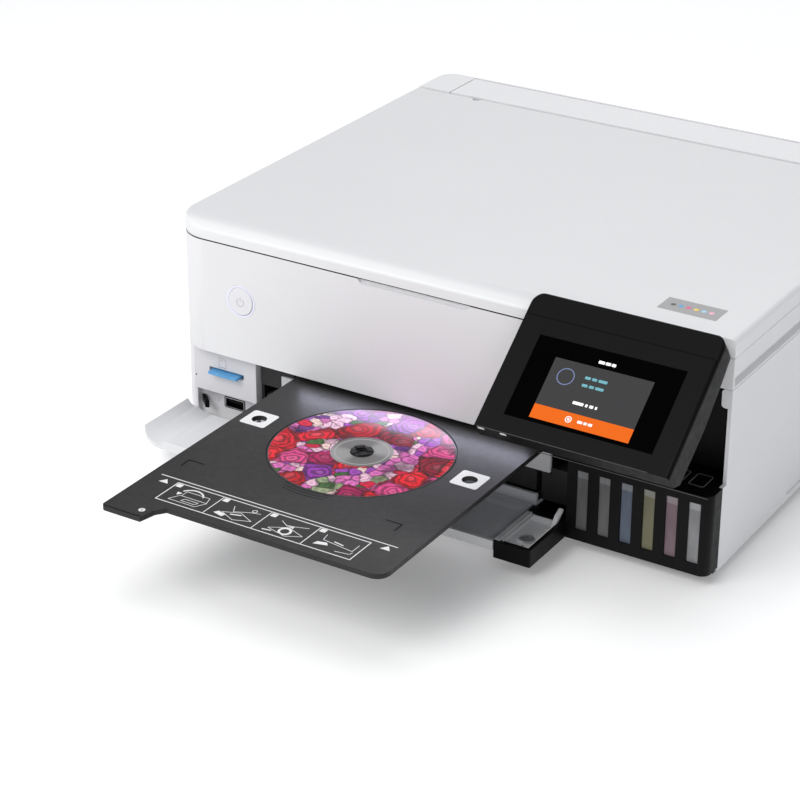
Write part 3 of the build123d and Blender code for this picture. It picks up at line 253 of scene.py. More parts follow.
m_liner = zoned("liner_grey", LINER, [(TUB, (75.8, -240, 0), (110, -150, 60))])
m_cassette = zoned("cassette_grey", PIT, [(LINER, (-150, -173.4, 0), (80, -170.6, 60))])
# the base pan's sill strip takes the liner's lifted grey: painted light on a face that sits in shade
m_base = zoned("base_dark", PIT, [(LINER, (-141.5, -173.0, 17.2), (76, -158, 22))], 0.5)
m_rubber = plastic("rubber", (0.020, 0.020, 0.021), 0.75, 0.15, 0.8, 0.30, 0.25)
m_gear = plastic("acetal", (0.72, 0.71, 0.66), 0.35, 0.04, 0.6, 0.08, 0.45)
m_steel = metal("bright_steel", (0.62, 0.62, 0.63), 0.25, (0.2, 4, 4))
m_zinc = metal("zinc_steel", (0.58, 0.59, 0.58), 0.38, (0.15, 1, 3))
m_board = plastic("circuit_board", (0.015, 0.13, 0.05), 0.3, 0.25, 0.8, 0.1, 0.5)
m_belt = plastic("belt", (0.012, 0.012, 0.012), 0.7, 0.1, 0.3, 0.4, 0.25)

# power button: satin white; its ring glows faintly lilac
m_button = plastic("button_white", (0.735, 0.735, 0.76), 0.40, 0.01, 0.3, 0.05, 0.45)
rg = Mat("ring_light", Roughness=0.3)
rg.set("Base Color", rg.ramp(rg.noise(60.0), [(0.3, (0.72, 0.72, 0.84)), (0.7, (0.78, 0.78, 0.90))]))
rg.set("Emission Color", (0.72, 0.70, 1.0))
rg.set("Emission Strength", 0.05)
m_ring = rg.m

# card: light blue, faint label grain
cd = Mat("card_blue", Roughness=0.38)
cd.set("Base Color", cd.ramp(cd.noise(220.0, 3.0), [(0.3, (0.075, 0.30, 0.60)), (0.7, (0.11, 0.36, 0.66))]))
cd.set("Normal", cd.bump(cd.noise(2200.0), 0.1, 0.0001))
m_card = cd.m

# black screen glass
gl = Mat("screen_glass", Specular_IOR_Level=0.03)
gl.set("Base Color", gl.ramp(gl.noise(30.0), [(0.3, (0.0004, 0.0004, 0.0005)), (0.7, (0.0008, 0.0008, 0.0009))]))
gl.set("Roughness", gl.map(gl.noise(90.0, 3.0), 0.3, 0.7, 0.05, 0.09))
m_glass = gl.m

# platen glass of the scanner
sg = Mat("scanner_glass", Roughness=0.03, Alpha=0.30, IOR=1.5)
sg.set("Base Color", sg.ramp(sg.noise(14.0), [(0.3, (0.50, 0.60, 0.57)), (0.7, (0.56, 0.66, 0.63))]))
m_scan_glass = sg.m

# white foam pad with a film face
pd = Mat("pad_white", Roughness=0.6)
pd.set("Base Color", pd.ramp(pd.noise(40.0), [(0.3, (0.82, 0.82, 0.80)), (0.7, (0.87, 0.87, 0.86))]))
pd.set("Normal", pd.bump(pd.noise(500.0, 4.0), 0.25, 0.0003))
m_pad = pd.m


def ink_window(name, low, top, z_level):
    """Translucent tank wall: ink below the level, clear wall above, faint moulding marks."""
    m = Mat(name, Specular_IOR_Level=0.4)
    sep = m.node("SeparateXYZ", Vector=m.coord())
    z = sep.outputs["Z"]
    streak = m.noise(140.0, 4.0, 0.6, m.node("Mapping", Vector=m.coord(), Scale=(1, 1, 0.35)).outputs["Vector"])
    body = m.ramp(streak, [(0.30, scaled(low, 0.80)), (0.70, scaled(low, 1.15))])
    clear = m.ramp(streak, [(0.30, scaled(top, 0.85)), (0.70, scaled(top, 1.15))])
    level = m.map(m.math("ADD", z, m.math("MULTIPLY", m.math("SUBTRACT", streak, 0.5), 0.0016)),
                  z_level * MM - 0.0004, z_level * MM + 0.0004, 0.0, 1.0)
    foot = m.map(z, 0.0162, 0.0200, 0.55, 1.0)
    col = m.mix(level, body, clear)
    col = m.mix(foot, m.mix(1.0, col, (0.35, 0.35, 0.36), "MULTIPLY"), col)
    m.set("Base Color", col)
    m.set("Roughness", m.map(streak, 0.3, 0.7, 0.30, 0.42))
    m.set("Normal", m.bump(streak, 0.12, 0.0003))
    return m.m


INKS = [((0.085, 0.085, 0.086), (0.155, 0.155, 0.16)),
        ((0.095, 0.095, 0.097), (0.17, 0.17, 0.175)),
        ((0.080, 0.100, 0.140), (0.19, 0.20, 0.22)),
        ((0.150, 0.142, 0.082), (0.23, 0.225, 0.19)),
        ((0.165, 0.110, 0.130), (0.25, 0.21, 0.225)),
        ((0.225, 0.225, 0.235), (0.34, 0.34, 0.35))]
m_inks = [ink_window("ink_%d" % (i + 1), lo, hi, 53.2) for i, (lo, hi) in enumerate(INKS)]

# disc tray: fine matte grain with a soft sheen
tr = Mat("tray_black", Specular_IOR_Level=0.24)
t_slow = tr.noise(11.0, 3.0)
t_mid = tr.noise(260.0, 4.0, 0.6)
t_col = tr.ramp(t_slow, [(0.3, (0.0150, 0.0144, 0.0142)), (0.7, (0.0195, 0.0187, 0.0184))])
tr.set("Base Color", tr.mix(tr.map(t_mid, 0.35, 0.75, 0.0, 0.5), t_col, (0.0135, 0.0131, 0.0130)))
tr.set("Roughness", tr.map(t_mid, 0.3, 0.7, 0.40, 0.48))
tr.set("Coat Weight", 0.10)
tr.set("Coat Roughness", 0.22)
tr.set("Normal", tr.bump(tr.noise(2600.0), 0.10, 0.0001))
m_tray = tr.m


def print_material(name, color, rough=0.5, emit=0.0, spec=0.5):
    m = Mat(name, Specular_IOR_Level=spec)
    n = m.noise(1500.0, 3.0, 0.6)
    m.set("Base Color", m.ramp(n, [(0.25, scaled(color, 0.90)), (0.6, color)]))
    m.set("Roughness", m.map(n, 0.3, 0.7, rough - 0.05, rough + 0.05))
    if emit:
        m.set("Emission Color", color)
        m.set("Emission Strength", emit)
    return m.m


m_mark_white = print_material("mark_white", (0.80, 0.80, 0.80))
m_mark_grey = print_material("mark_grey", (0.30, 0.30, 0.31))
m_mark_dark = print_material("mark_dark", (0.012, 0.012, 0.013), spec=0.10)
m_mark_black = print_material("mark_black", (0.004, 0.004, 0.0045), spec=0.05)
m_mark_soft = print_material("mark_soft", (0.42, 0.42, 0.44))
# pale grey for painted highlights along black edges
m_painted_edge_highlight = print_material("painted_edge_highlight", (0.085, 0.085, 0.088))
m_ui_card = print_material("ui_card", (0.038, 0.038, 0.039), 0.45, 0.30, 0.04)
m_ui_orange = print_material("ui_orange", (0.72, 0.125, 0.010), 0.45, 0.08, 0.04)
m_ui_white = print_material("ui_white", (0.85, 0.85, 0.86), 0.3, 0.15)
m_ui_teal = print_material("ui_teal", (0.12, 0.36, 0.42), 0.3, 0.10)
m_ui_ring = print_material("ui_ring", (0.14, 0.18, 0.34), 0.3, 0.08)
m_sticker = print_material("sticker_grey", (0.27, 0.27, 0.275), 0.30)


def ink_dot(name, color):
    return print_material(name, color, 0.35)


# ---------------------------------------------------------------- disc face
CX, CY, DISC_TOP = -12.5, -244.4, 64.1
dm = Mat("disc_face", IOR=1.5)
mp = dm.node("Mapping", Vector=dm.coord(), Location=(-CX * MM, -CY * MM, 0.0)).outputs["Vector"]
flat = dm.node("VectorMath", {"operation": "MULTIPLY"}, i0=mp, i1=(1.0, 1.0, 0.0)).outputs["Vector"]
rad = dm.node("VectorMath", {"operation": "LENGTH"}, i0=flat).outputs["Value"]
warp = dm.node("TexNoise", Vector=flat, Scale=60.0, Detail=4.0, Roughness=0.6)
wv = dm.node("VectorMath", {"operation": "SUBTRACT"}, i0=warp.outputs["Color"], i1=(0.5, 0.5, 0.5)).outputs["Vector"]
ws = dm.node("VectorMath", {"operation": "SCALE"}, i0=wv, Scale=0.013).outputs["Vector"]
wp = dm.node("VectorMath", {"operation": "ADD"}, i0=flat, i1=ws).outputs["Vector"]


def cells(scale, vec, seed, dist_rings):
    """Round pebbles: a colour number for each, its domed shade and its thin rings."""
    shift = dm.node("VectorMath", {"operation": "ADD"}, i0=vec, i1=seed).outputs["Vector"]
    v = dm.node("TexVoronoi", {"voronoi_dimensions": "2D"}, Vector=shift, Scale=scale, Randomness=0.85)
    e = dm.node("TexVoronoi", {"voronoi_dimensions": "2D", "feature": "DISTANCE_TO_EDGE"}, Vector=shift, Scale=scale, Randomness=0.85)
    number = dm.node("SeparateColor", Color=v.outputs["Color"])
    wob = dm.noise(scale * 2.6, 3.0, 0.6, vec)
    ring = dm.math("SINE", dm.math("MULTIPLY", dm.math("ADD", v.outputs["Distance"], dm.math("MULTIPLY", wob, 0.34)), dist_rings))
    return number.outputs["Red"], number.outputs["Green"], v.outputs["Distance"], e.outputs["Distance"], ring


n1, k1, d1, e1, r1 = cells(52.0, wp, (0.31, 0.77, 0.0), 30.0)
n2, k2, d2, e2, r2 = cells(135.0, wp, (0.11, 0.43, 0.0), 16.0)
big = dm.ramp(n1, [(0.0, (0.50, 0.002, 0.012)), (0.17, (0.74, 0.006, 0.025)), (0.32, (0.42, 0.006, 0.10)),
                   (0.46, (0.70, 0.06, 0.24)), (0.58, (0.80, 0.008, 0.02)), (0.70, (0.28, 0.03, 0.36)),
                   (0.80, (0.72, 0.22, 0.52)), (0.90, (0.26, 0.003, 0.02))], "CONSTANT")
small = dm.ramp(n2, [(0.0, (0.72, 0.16, 0.48)), (0.2, (0.34, 0.06, 0.44)), (0.36, (0.84, 0.52, 0.66)),
                     (0.5, (0.05, 0.13, 0.03)), (0.60, (0.82, 0.60, 0.55)), (0.70, (0.14, 0.02, 0.22)),
                     (0.82, (0.64, 0.01, 0.05)), (0.92, (0.30, 0.36, 0.20))], "CONSTANT")
# big pebbles: bright crown, rings, dark gaps; small ones fill bands between them
dome1 = dm.map(e1, 0.0, 0.16, 0.34, 1.0, True)
shade1 = dm.math("MULTIPLY", dome1, dm.map(r1, -1.0, 1.0, 0.34, 1.20))
col1 = dm.mix(1.0, big, dm.node("CombineColor", Red=shade1, Green=shade1, Blue=shade1).outputs["Color"], "MULTIPLY")
shine1 = dm.map(d1, 0.0, 0.30, 0.07, 0.0, True)
col1 = dm.mix(shine1, col1, (0.95, 0.62, 0.72))
dome2 = dm.map(e2, 0.0, 0.16, 0.28, 1.0, True)
shade2 = dm.math("MULTIPLY", dome2, dm.map(r2, -1.0, 1.0, 0.72, 1.12))
col2 = dm.mix(1.0, small, dm.node("CombineColor", Red=shade2, Green=shade2, Blue=shade2).outputs["Color"], "MULTIPLY")
pick = dm.math("GREATER_THAN", k1, 0.62)
art = dm.mix(pick, col1, col2)
mottle = dm.noise(240.0, 4.0, 0.6, flat)
art = dm.mix(dm.map(mottle, 0.35, 0.75, 0.0, 0.25), art, dm.mix(1.0, art, (0.55, 0.50, 0.60), "MULTIPLY"))
patch = dm.noise(46.0, 2.0, 0.5, flat)
art = dm.mix(dm.map(patch, 0.50, 0.68, 0.0, 0.75, True), art, dm.mix(1.0, art, (0.10, 0.06, 0.10), "MULTIPLY"))
# painted reflection: the far part of the disc fades towards a pale pink sheen
far = dm.map(dm.node("SeparateXYZ", Vector=flat).outputs["Y"], 0.034, 0.060, 0.0, 0.45, True)
art = dm.mix(far, art, (0.66, 0.50, 0.60))
# clear middle and clear rim
clear_in = dm.map(rad, 0.0199, 0.0202, 1.0, 0.0)
clear_out = dm.map(rad, 0.0588, 0.0591, 0.0, 1.0)
stack = dm.map(dm.math("ABSOLUTE", dm.math("SUBTRACT", rad, 0.0172)), 0.0003, 0.0006, 1.0, 0.0)
ang = dm.node("Math", {"operation": "ARCTAN2"}, i0=dm.node("SeparateXYZ", Vector=flat).outputs["Y"],
              i1=dm.node("SeparateXYZ", Vector=flat).outputs["X"]).outputs[0]
fan = dm.map(dm.math("SINE", dm.math("MULTIPLY", ang, 2.0)), -0.2, 0.9, 0.0, 1.0, True)
hubcol = dm.mix(fan, (0.16, 0.157, 0.156), (0.30, 0.295, 0.29))
hubcol = dm.mix(stack, hubcol, (0.36, 0.355, 0.35))
col = dm.mix(clear_in, art, hubcol)
col = dm.mix(clear_out, col, (0.05, 0.045, 0.05))
dm.set("Base Color", col)
dm.set("Roughness", dm.map(mottle, 0.3, 0.7, 0.16, 0.24))
dm.set("Specular IOR Level", 0.12)
dm.set("Coat Weight", 0.06)
dm.set("Coat Roughness", 0.12)
m_disc = dm.m

# ---------------------------------------------------------------- CAD nodes
by_node = {
    "outer_housing": m_white, "front_panel": m_white, "card_panel": m_white_card_shaded, "rear_cover": m_white,
    "rear_feed_cover": m_white, "document_cover": m_white_lid, "scanner_base": m_white, "front_cover": m_white,
    "power_ring": m_ring, "power_button": m_button, "card_socket": m_steel, "usb_port": m_black,
    "ink_tank_case": m_black_ink, "tank_caps": m_rubber, "tank_cover": m_black, "panel_recess": m_black,
    "panel_housing": m_black, "touch_glass": m_glass, "display_module": m_dark, "front_cover_end": m_black,
    "front_cover_liner": m_liner, "paper_cassette": m_cassette, "photo_cassette": m_dark, "output_tray": m_lightgrey,
    "mouth_frame": m_dark, "base_pan": m_base, "rubber_feet": m_rubber, "paper_feeder": m_grey, "platen": m_dark,
    "maintenance_unit": m_grey, "mainboard": m_board, "power_supply": m_dark, "power_inlet": m_black,
    "rear_ports": m_black, "hinge_pins": m_steel, "chassis_rail": m_zinc, "timing_belt": m_belt,
    "carriage_motor": m_zinc, "feed_motor": m_zinc, "drive_pulley": m_gear, "idler_pulley": m_gear,
    "motor_pinion": m_gear, "feed_roller": m_rubber, "sd_card": m_card, "disc_tray": m_tray, "disc": m_disc,
    "carriage": m_dark, "print_head": m_black, "scanner_glass": m_scan_glass, "scan_carriage": m_black,
    "cover_pad": m_pad, "paper_support": m_grey, "edge_guide_left": m_grey, "edge_guide_right": m_grey,
}
for i in range(6):
    by_node["ink_tank_%d" % (i + 1)] = m_inks[i]
SOFT_EDGE = {  # node: radius of its softened edges in mm
    "panel_housing": 0.35, "ink_tank_case": 0.5, "tank_cover": 0.5, "panel_recess": 0.4, "front_cover_end": 0.5,
    "front_cover": 0.5, "front_cover_liner": 0.3, "card_panel": 0.5, "front_panel": 0.5, "outer_housing": 0.5,
    "document_cover": 0.5, "scanner_base": 0.5, "paper_cassette": 0.4, "photo_cassette": 0.4, "output_tray": 0.4,
    "disc_tray": 0.35, "mouth_frame": 0.3, "rear_cover": 0.5, "rear_feed_cover": 0.4, "sd_card": 0.2, "disc": 0.15,
    "power_button": 0.4,
}
for name, ob in NODE.items():
    mat = by_node[name]
    ob.data.materials.clear()
    ob.data.materials.append(mat)
    for s in ob.material_slots:
        s.material = mat
    if name in SOFT_EDGE:
        w = ob.modifiers.new("weld", "WELD")
        w.merge_threshold = 2e-6
        bv = ob.modifiers.new("soft", "BEVEL")
        bv.width = SOFT_EDGE[name] * MM
        bv.segments = 2
        bv.limit_method = "ANGLE"
        bv.angle_limit = math.radians(40)
        bv.use_clamp_overlap = True
        bv.harden_normals = False

# ---------------------------------------------------------------- mesh helpers


def add_mesh(name, verts, faces, body, mat, smooth=False, bevel=0.0):
    """A new piece from vertices in mm."""
    me = bpy.data.meshes.new(name)
    me.from_pydata([(v[0] * MM, v[1] * MM, v[2] * MM) for v in verts], [], faces)
    me.update()
    me.materials.append(mat)
    ob = bpy.data.objects.new(name, me)
    scene.collection.objects.link(ob)
    if smooth:
        for p in me.polygons:
            p.use_smooth = True
    if bevel:
        b = ob.modifiers.new("soft", "BEVEL")
        b.width = bevel * MM
        b.segments = 3
        b.limit_method = "ANGLE"
        b.angle_limit = math.radians(35)
    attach(ob, body)
    return ob


class Plane:
    def __init__(self, o, u, v):
        self.o, self.u, self.v = Vector(o), Vector(u).normalized(), Vector(v).normalized()
        self.n = self.u.cross(self.v)

    def at(self, x, y, h=0.0):
        return self.o + self.u * x + self.v * y + self.n * h


class Shapes:
    """Thin closed solids drawn on a plane, all in one mesh."""

    def __init__(self, plane, lo=0.005, hi=0.06):
        self.p, self.lo, self.hi, self.V, self.F = plane, lo, hi, [], []

    def poly(self, pts, lo=None, hi=None):
        lo = self.lo if lo is None else lo
        hi = self.hi if hi is None else hi
        area = sum(a[0] * b[1] - b[0] * a[1] for a, b in zip(pts, pts[1:] + pts[:1]))
        if area < 0:
            pts = pts[::-1]
        n, k = len(pts), len(self.V)
        self.V += [self.p.at(x, y, lo) for x, y in pts] + [self.p.at(x, y, hi) for x, y in pts]
        self.F += [tuple(k + i for i in reversed(range(n))), tuple(k + n + i for i in range(n))]
        self.F += [(k + i, k + (i + 1) % n, k + n + (i + 1) % n, k + n + i) for i in range(n)]

    def loop(self, outer, inner, lo=None, hi=None):
        lo = self.lo if lo is None else lo
        hi = self.hi if hi is None else hi
        n, k = len(outer), len(self.V)
        self.V += [self.p.at(x, y, lo) for x, y in outer] + [self.p.at(x, y, hi) for x, y in outer]
        self.V += [self.p.at(x, y, lo) for x, y in inner] + [self.p.at(x, y, hi) for x, y in inner]
        for i in range(n):
            j = (i + 1) % n
            self.F.append((k + n + i, k + n + j, k + 3 * n + j, k + 3 * n + i))
            self.F.append((k + j, k + i, k + 2 * n + i, k + 2 * n + j))
            self.F.append((k + i, k + j, k + n + j, k + n + i))
            self.F.append((k + 2 * n + j, k + 2 * n + i, k + 3 * n + i, k + 3 * n + j))

    def rect(self, x0, y0, x1, y1, **k):
        self.poly([(x0, y0), (x1, y0), (x1, y1), (x0, y1)], **k)

    @staticmethod
    def rounded(x0, y0, x1, y1, r, n=6):
        pts = []
        for cx, cy, a0 in ((x1 - r, y0 + r, -90), (x1 - r, y1 - r, 0), (x0 + r, y1 - r, 90), (x0 + r, y0 + r, 180)):
            for i in range(n + 1):
                a = math.radians(a0 + 90.0 * i / n)
                pts.append((cx + r * math.cos(a), cy + r * math.sin(a)))
        return pts

    def rrect(self, x0, y0, x1, y1, r, **k):
        self.poly(self.rounded(x0, y0, x1, y1, r), **k)

    def frame(self, x0, y0, x1, y1, w, r=0.0, **k):
        if r > 0:
            self.loop(self.rounded(x0, y0, x1, y1, r), self.rounded(x0 + w, y0 + w, x1 - w, y1 - w, max(r - w, 0.05)), **k)
        else:
            self.loop([(x0, y0), (x1, y0), (x1, y1), (x0, y1)],
                      [(x0 + w, y0 + w), (x1 - w, y0 + w), (x1 - w, y1 - w), (x0 + w, y1 - w)], **k)

    @staticmethod
    def circle(cx, cy, r, n=48):
        return [(cx + r * math.cos(2 * math.pi * i / n), cy + r * math.sin(2 * math.pi * i / n)) for i in range(n)]

    def dot(self, cx, cy, r, n=32, **k):
        self.poly(self.circle(cx, cy, r, n), **k)

    def ring(self, cx, cy, r0, r1, n=48, **k):
        self.loop(self.circle(cx, cy, r1, n), self.circle(cx, cy, r0, n), **k)

    def arc(self, cx, cy, r0, r1, a0, a1, n=24, **k):
        o = [(cx + r1 * math.cos(math.radians(a0 + (a1 - a0) * i / n)), cy + r1 * math.sin(math.radians(a0 + (a1 - a0) * i / n))) for i in range(n + 1)]
        q = [(cx + r0 * math.cos(math.radians(a0 + (a1 - a0) * i / n)), cy + r0 * math.sin(math.radians(a0 + (a1 - a0) * i / n))) for i in range(n + 1)]
        for i in range(n):
            self.poly([o[i], o[i + 1], q[i + 1], q[i]], **k)

    def line(self, p, q, w, **k):
        d = Vector((q[0] - p[0], q[1] - p[1]))
        if d.length < 1e-6:
            return
        s = Vector((-d.y, d.x)).normalized() * (w / 2)
        self.poly([(p[0] - s.x, p[1] - s.y), (q[0] - s.x, q[1] - s.y), (q[0] + s.x, q[1] + s.y), (p[0] + s.x, p[1] + s.y)], **k)

    def path(self, pts, w, close=False, **k):
        for a, b in zip(pts, pts[1:] + (pts[:1] if close else [])):
            self.line(a, b, w, **k)

    def make(self, name, body, mat, slot=None):
        return add_mesh(name, self.V, self.F, body, mat)


def solid(name, pts, axis, a, b, body, mat, bevel=0.4):
    """A prism: profile points in the plane across axis, from a to b along it, with softened edges."""
    order = {"x": lambda p, q, t: (t, p, q), "y": lambda p, q, t: (p, t, q), "z": lambda p, q, t: (p, q, t)}[axis]
    area = sum(s[0] * t[1] - t[0] * s[1] for s, t in zip(pts, pts[1:] + pts[:1]))
    if (area < 0) != (axis == "y"):
        pts = pts[::-1]
    n = len(pts)
    V = [order(p, q, a) for p, q in pts] + [order(p, q, b) for p, q in pts]
    F = [tuple(reversed(range(n))), tuple(range(n, 2 * n))]
    F += [(i, (i + 1) % n, n + (i + 1) % n, n + i) for i in range(n)]
    return add_mesh(name, V, F, body, mat, bevel=bevel)


def ribbon(name, runs, body, mat, inset=0.3, proud=0.05):
    """Thin upright bands along paths of (x, y) points, each run with its own heights: painted shadow in the gap of a
    seam.
    """
    V, F = [], []
    for pts, z0, z1 in runs:
        k = len(V)
        m = len(pts) - 1
        for i, p in enumerate(pts):
            a, b = Vector(pts[max(i - 1, 0)]), Vector(pts[min(i + 1, m)])
            d = (b - a).normalized()
            o = Vector((d.y, -d.x))
            q = Vector(p)
            inn, out = q - o * inset, q + o * proud
            za, zb = (z0[i], z1[i]) if isinstance(z0, (list, tuple)) else (z0, z1)
            V += [(inn.x, inn.y, za), (out.x, out.y, za), (out.x, out.y, zb), (inn.x, inn.y, zb)]
        for i in range(m):
            s0, s1 = k + 4 * i, k + 4 * i + 4
            F += [(s0 + 1, s1 + 1, s1 + 2, s0 + 2), (s0, s1, s1 + 1, s0 + 1), (s0 + 3, s0 + 2, s1 + 2, s1 + 3), (s0, s0 + 3, s1 + 3, s1)]
        e = k + 4 * m
        F += [(k, k + 1, k + 2, k + 3), (e + 3, e + 2, e + 1, e)]
    return add_mesh(name, V, F, body, mat)


TOP = lambda z: Plane((0, 0, z), (1, 0, 0), (0, 1, 0))
FRONT = lambda y: Plane((0, y, 0), (1, 0, 0), (0, 0, 1))

# ---------------------------------------------------------------- disc tray marks
TT = 64.2
s = Shapes(TOP(TT))
s.line((-100.8, -335.8), (71.1, -335.8), 0.75)
for x, y in ((-93.8, -341.5), (65.7, -339.5)):
    s.poly([(x - 3.4, y - 2.3), (x + 3.4, y - 2.3), (x, y + 2.4)])
X0, X1, Y0, Y1 = -85.8, 55.0, -362.8, -338.8
s.frame(X0, Y0, X1, Y1, 0.7)
cw = (X1 - X0) / 4.0
for i in (1, 2, 3):
    s.line((X0 + cw * i, Y0 + 0.3), (X0 + cw * i, Y1 - 0.3), 0.6)
LW = 0.42
for i in range(4):
    a = X0 + cw * i
    s.rrect(a + 1.2, Y1 - 5.0, a + 5.2, Y1 - 1.1, 0.5)
# four plain step drawings: slot and arrow; tray and arc; disc on the tray; sheet and arrow
a = X0
s.path([(a + 7, Y0 + 4), (a + 27, Y0 + 4), (a + 31, Y0 + 11), (a + 11, Y0 + 11)], LW, True)
s.path([(a + 12, Y0 + 11), (a + 12, Y0 + 17), (a + 29, Y0 + 17), (a + 30.5, Y0 + 11)], LW)
s.arc(a + 17, Y0 + 12, 8.0, 9.2, 25, 150)
s.poly([(a + 7.0, Y0 + 14.2), (a + 10.8, Y0 + 13.8), (a + 8.4, Y0 + 10.6)])
s.path([(a + 15, Y0 + 6), (a + 25, Y0 + 6), (a + 26.4, Y0 + 8.6), (a + 16.4, Y0 + 8.6)], LW, True)
a = X0 + cw
s.path([(a + 9, Y0 + 8), (a + 20, Y0 + 3), (a + 31, Y0 + 7), (a + 20, Y0 + 12.4)], LW, True)
s.path([(a + 12, Y0 + 17.4), (a + 15, Y0 + 11.5), (a + 25, Y0 + 16), (a + 31, Y0 + 17.5)], LW)
s.poly([(a + 5, Y0 + 5), (a + 12, Y0 + 3), (a + 13, Y0 + 6), (a + 7, Y0 + 8)])
s.ring(a + 26, Y0 + 18.4, 1.2, 1.7, 20)
s.line((a + 15, Y0 + 8), (a + 22, Y0 + 10), 1.1)
a = X0 + 2 * cw
s.path([(a + 8, Y0 + 7), (a + 22, Y0 + 3), (a + 32, Y0 + 8), (a + 19, Y0 + 13)], LW, True)
s.ring(a + 19.5, Y0 + 8.0, 2.8, 4.4, 28)
s.path([(a + 11, Y0 + 18), (a + 17, Y0 + 14), (a + 30, Y0 + 18.4)], LW)
s.poly([(a + 16, Y0 + 14.6), (a + 22, Y0 + 12.8), (a + 21.5, Y0 + 16.0)])
s.line((a + 6, Y0 + 3.6), (a + 12, Y0 + 4.6), 1.0)
a = X0 + 3 * cw
s.path([(a + 8, Y0 + 18), (a + 9, Y0 + 12), (a + 31, Y0 + 9), (a + 31, Y0 + 17)], LW)
s.poly([(a + 6, Y0 + 5), (a + 15, Y0 + 7.4), (a + 13, Y0 + 10), (a + 7, Y0 + 8.6)])
s.path([(a + 22, Y0 + 4), (a + 31.5, Y0 + 5.4), (a + 32, Y0 + 8)], LW)
s.line((a + 16, Y0 + 13.2), (a + 23, Y0 + 12.0), 0.9)
s.make("tray_marks", "disc_tray", m_mark_white)

s = Shapes(TOP(TT))
for (x0, y0, x1, y1), (hx, hy) in (((-103.0, -251.0, -83.7, -231.6), (-93.35, -241.3)), ((54.6, -250.5, 73.9, -231.1), (64.2, -240.85))):
    rr, outer, inner = 1.8, [], []
    for i in range(96):
        t = 2 * math.pi * (i + 0.5) / 96
        c, d = math.cos(t), math.sin(t)
        hxw, hyw = (x1 - x0) / 2, (y1 - y0) / 2
        lo_k, hi_k = 0.0, 40.0
        for _ in range(30):  # reach of the ray inside the rounded square
            k = (lo_k + hi_k) / 2
            qx, qy = abs(k * c) - (hxw - rr), abs(k * d) - (hyw - rr)
            out = math.hypot(max(qx, 0), max(qy, 0)) > rr
            lo_k, hi_k = (lo_k, k) if out else (k, hi_k)
        outer.append(((x0 + x1) / 2 + lo_k * c, (y0 + y1) / 2 + lo_k * d))
        inner.append((hx + 5.05 * c, hy + 5.05 * d))
    s.loop(outer, inner)
s.make("tray_sensor_pads", "disc_tray", m_mark_white)

s = Shapes(TOP(TT))
for x, y, sx in ((-97.6, -311.4, 1), (58.6, -311.0, -1)):
    s.line((x, y), (x + sx * 11.5, y), 1.0)
    s.line((x, y + 0.5), (x, y - 9.0), 1.0)
s.make("tray_corner_marks", "disc_tray", m_mark_black)

s = Shapes(TOP(TT))
s.ring(-83.4, -378.6, 0.9, 2.1, 28)
s.rect(-84.0, -378.9, -82.8, -378.3)
s.make("tray_tab_mark", "disc_tray", m_mark_white)

# hub: four sprung fingers round a cup
s = Shapes(TOP(TT - 1.45))
for i in range(4):
    a0 = 45 + 90 * i - 31
    s.arc(CX, CY, 3.6, 7.05, a0, a0 + 62, 10, lo=0.0, hi=2.6)
s.ring(CX, CY, 2.0, 3.0, 32, lo=0.0, hi=1.7)
s.make("disc_hub_fingers", "disc_tray", m_mark_dark)
# two finger hollows beside the disc
s = Shapes(TOP(TT))
s.arc(CX, CY, 61.2, 61.9, 252, 286, 16)
s.arc(CX, CY, 64.0, 64.7, 254, 284, 16)
s.arc(CX, CY, 66.8, 67.5, 256, 282, 16)
s.make("tray_finger_ridges", "disc_tray", m_mark_dark)

# ---------------------------------------------------------------- touch panel face
T = math.radians(51.0)
PY, PZ = -172.2, 152.4


def panel_plane(a_out):
    """Plane parallel to the panel's face, a_out mm in front of its hinge line; y runs up from the top edge, so it is negative."""
    ny, nz = -math.cos(T), math.sin(T)
    uy, uz = math.sin(T), math.cos(T)
    oy = PY + a_out * ny + 9.6 * uy
    oz = PZ + a_out * nz + 9.6 * uz
    return Plane((0, oy, oz), (1, 0, 0), (0, uy, uz))


glass = panel_plane(12.2)
face = panel_plane(12.3)
s = Shapes(glass, 0.02, 0.07)
s.rect(101.8, -73.0, 168.5, -40.3)
s.make("ui_card_field", "control_panel", m_ui_card)
s = Shapes(glass, 0.02, 0.07)
s.rect(101.8, -82.5, 168.5, -73.0)
s.make("ui_orange_bar", "control_panel", m_ui_orange)
s = Shapes(glass, 0.08, 0.11)
s.ring(113.2, -51.2, 5.1, 5.75, 48)
s.make("ui_progress_ring", "control_panel", m_ui_ring)
s = Shapes(glass, 0.08, 0.11)
for y, x1 in ((-48.6, 140.4), (-53.8, 140.0)):
    for i, (xa, xb) in enumerate(((125.4, 129.2), (130.2, 133.4), (134.4, x1))):
        s.rrect(xa, y - 0.95, xb, y + 0.95, 0.5)
s.make("ui_info_lines", "control_panel", m_ui_teal)
s = Shapes(glass, 0.08, 0.11)
for xa, xb in ((124.6, 131.8), (133.0, 134.6), (135.8, 138.4), (139.6, 141.0)):
    s.rrect(xa, -67.2, xb, -65.2, 0.5)
for xa, xb in ((129.4, 133.6), (134.2, 137.6), (138.2, 141.0)):
    s.rrect(xa, -37.4, xb, -35.4, 0.5)
s.ring(126.6, -77.6, 1.6, 2.15, 32)
s.rrect(125.8, -78.4, 127.4, -76.8, 0.2)
for xa, xb in ((132.6, 136.0), (136.8, 139.0), (139.8, 142.6)):
    s.rrect(xa, -78.5, xb, -76.7, 0.5)
s.make("ui_white_lines", "control_panel", m_ui_white)
# crease across the panel's upper part, and a fine painted highlight line along its lower edge
s = Shapes(face, 0.0, 0.04)
s.rect(70.9, -16.75, 200.5, -16.35)
s.make("panel_crease", "control_panel", m_mark_black)
s = Shapes(face, 0.0, 0.04)
s.rect(72.0, -97.0, 187.0, -96.75)
s.make("panel_lower_painted_highlight", "control_panel", m_painted_edge_highlight)
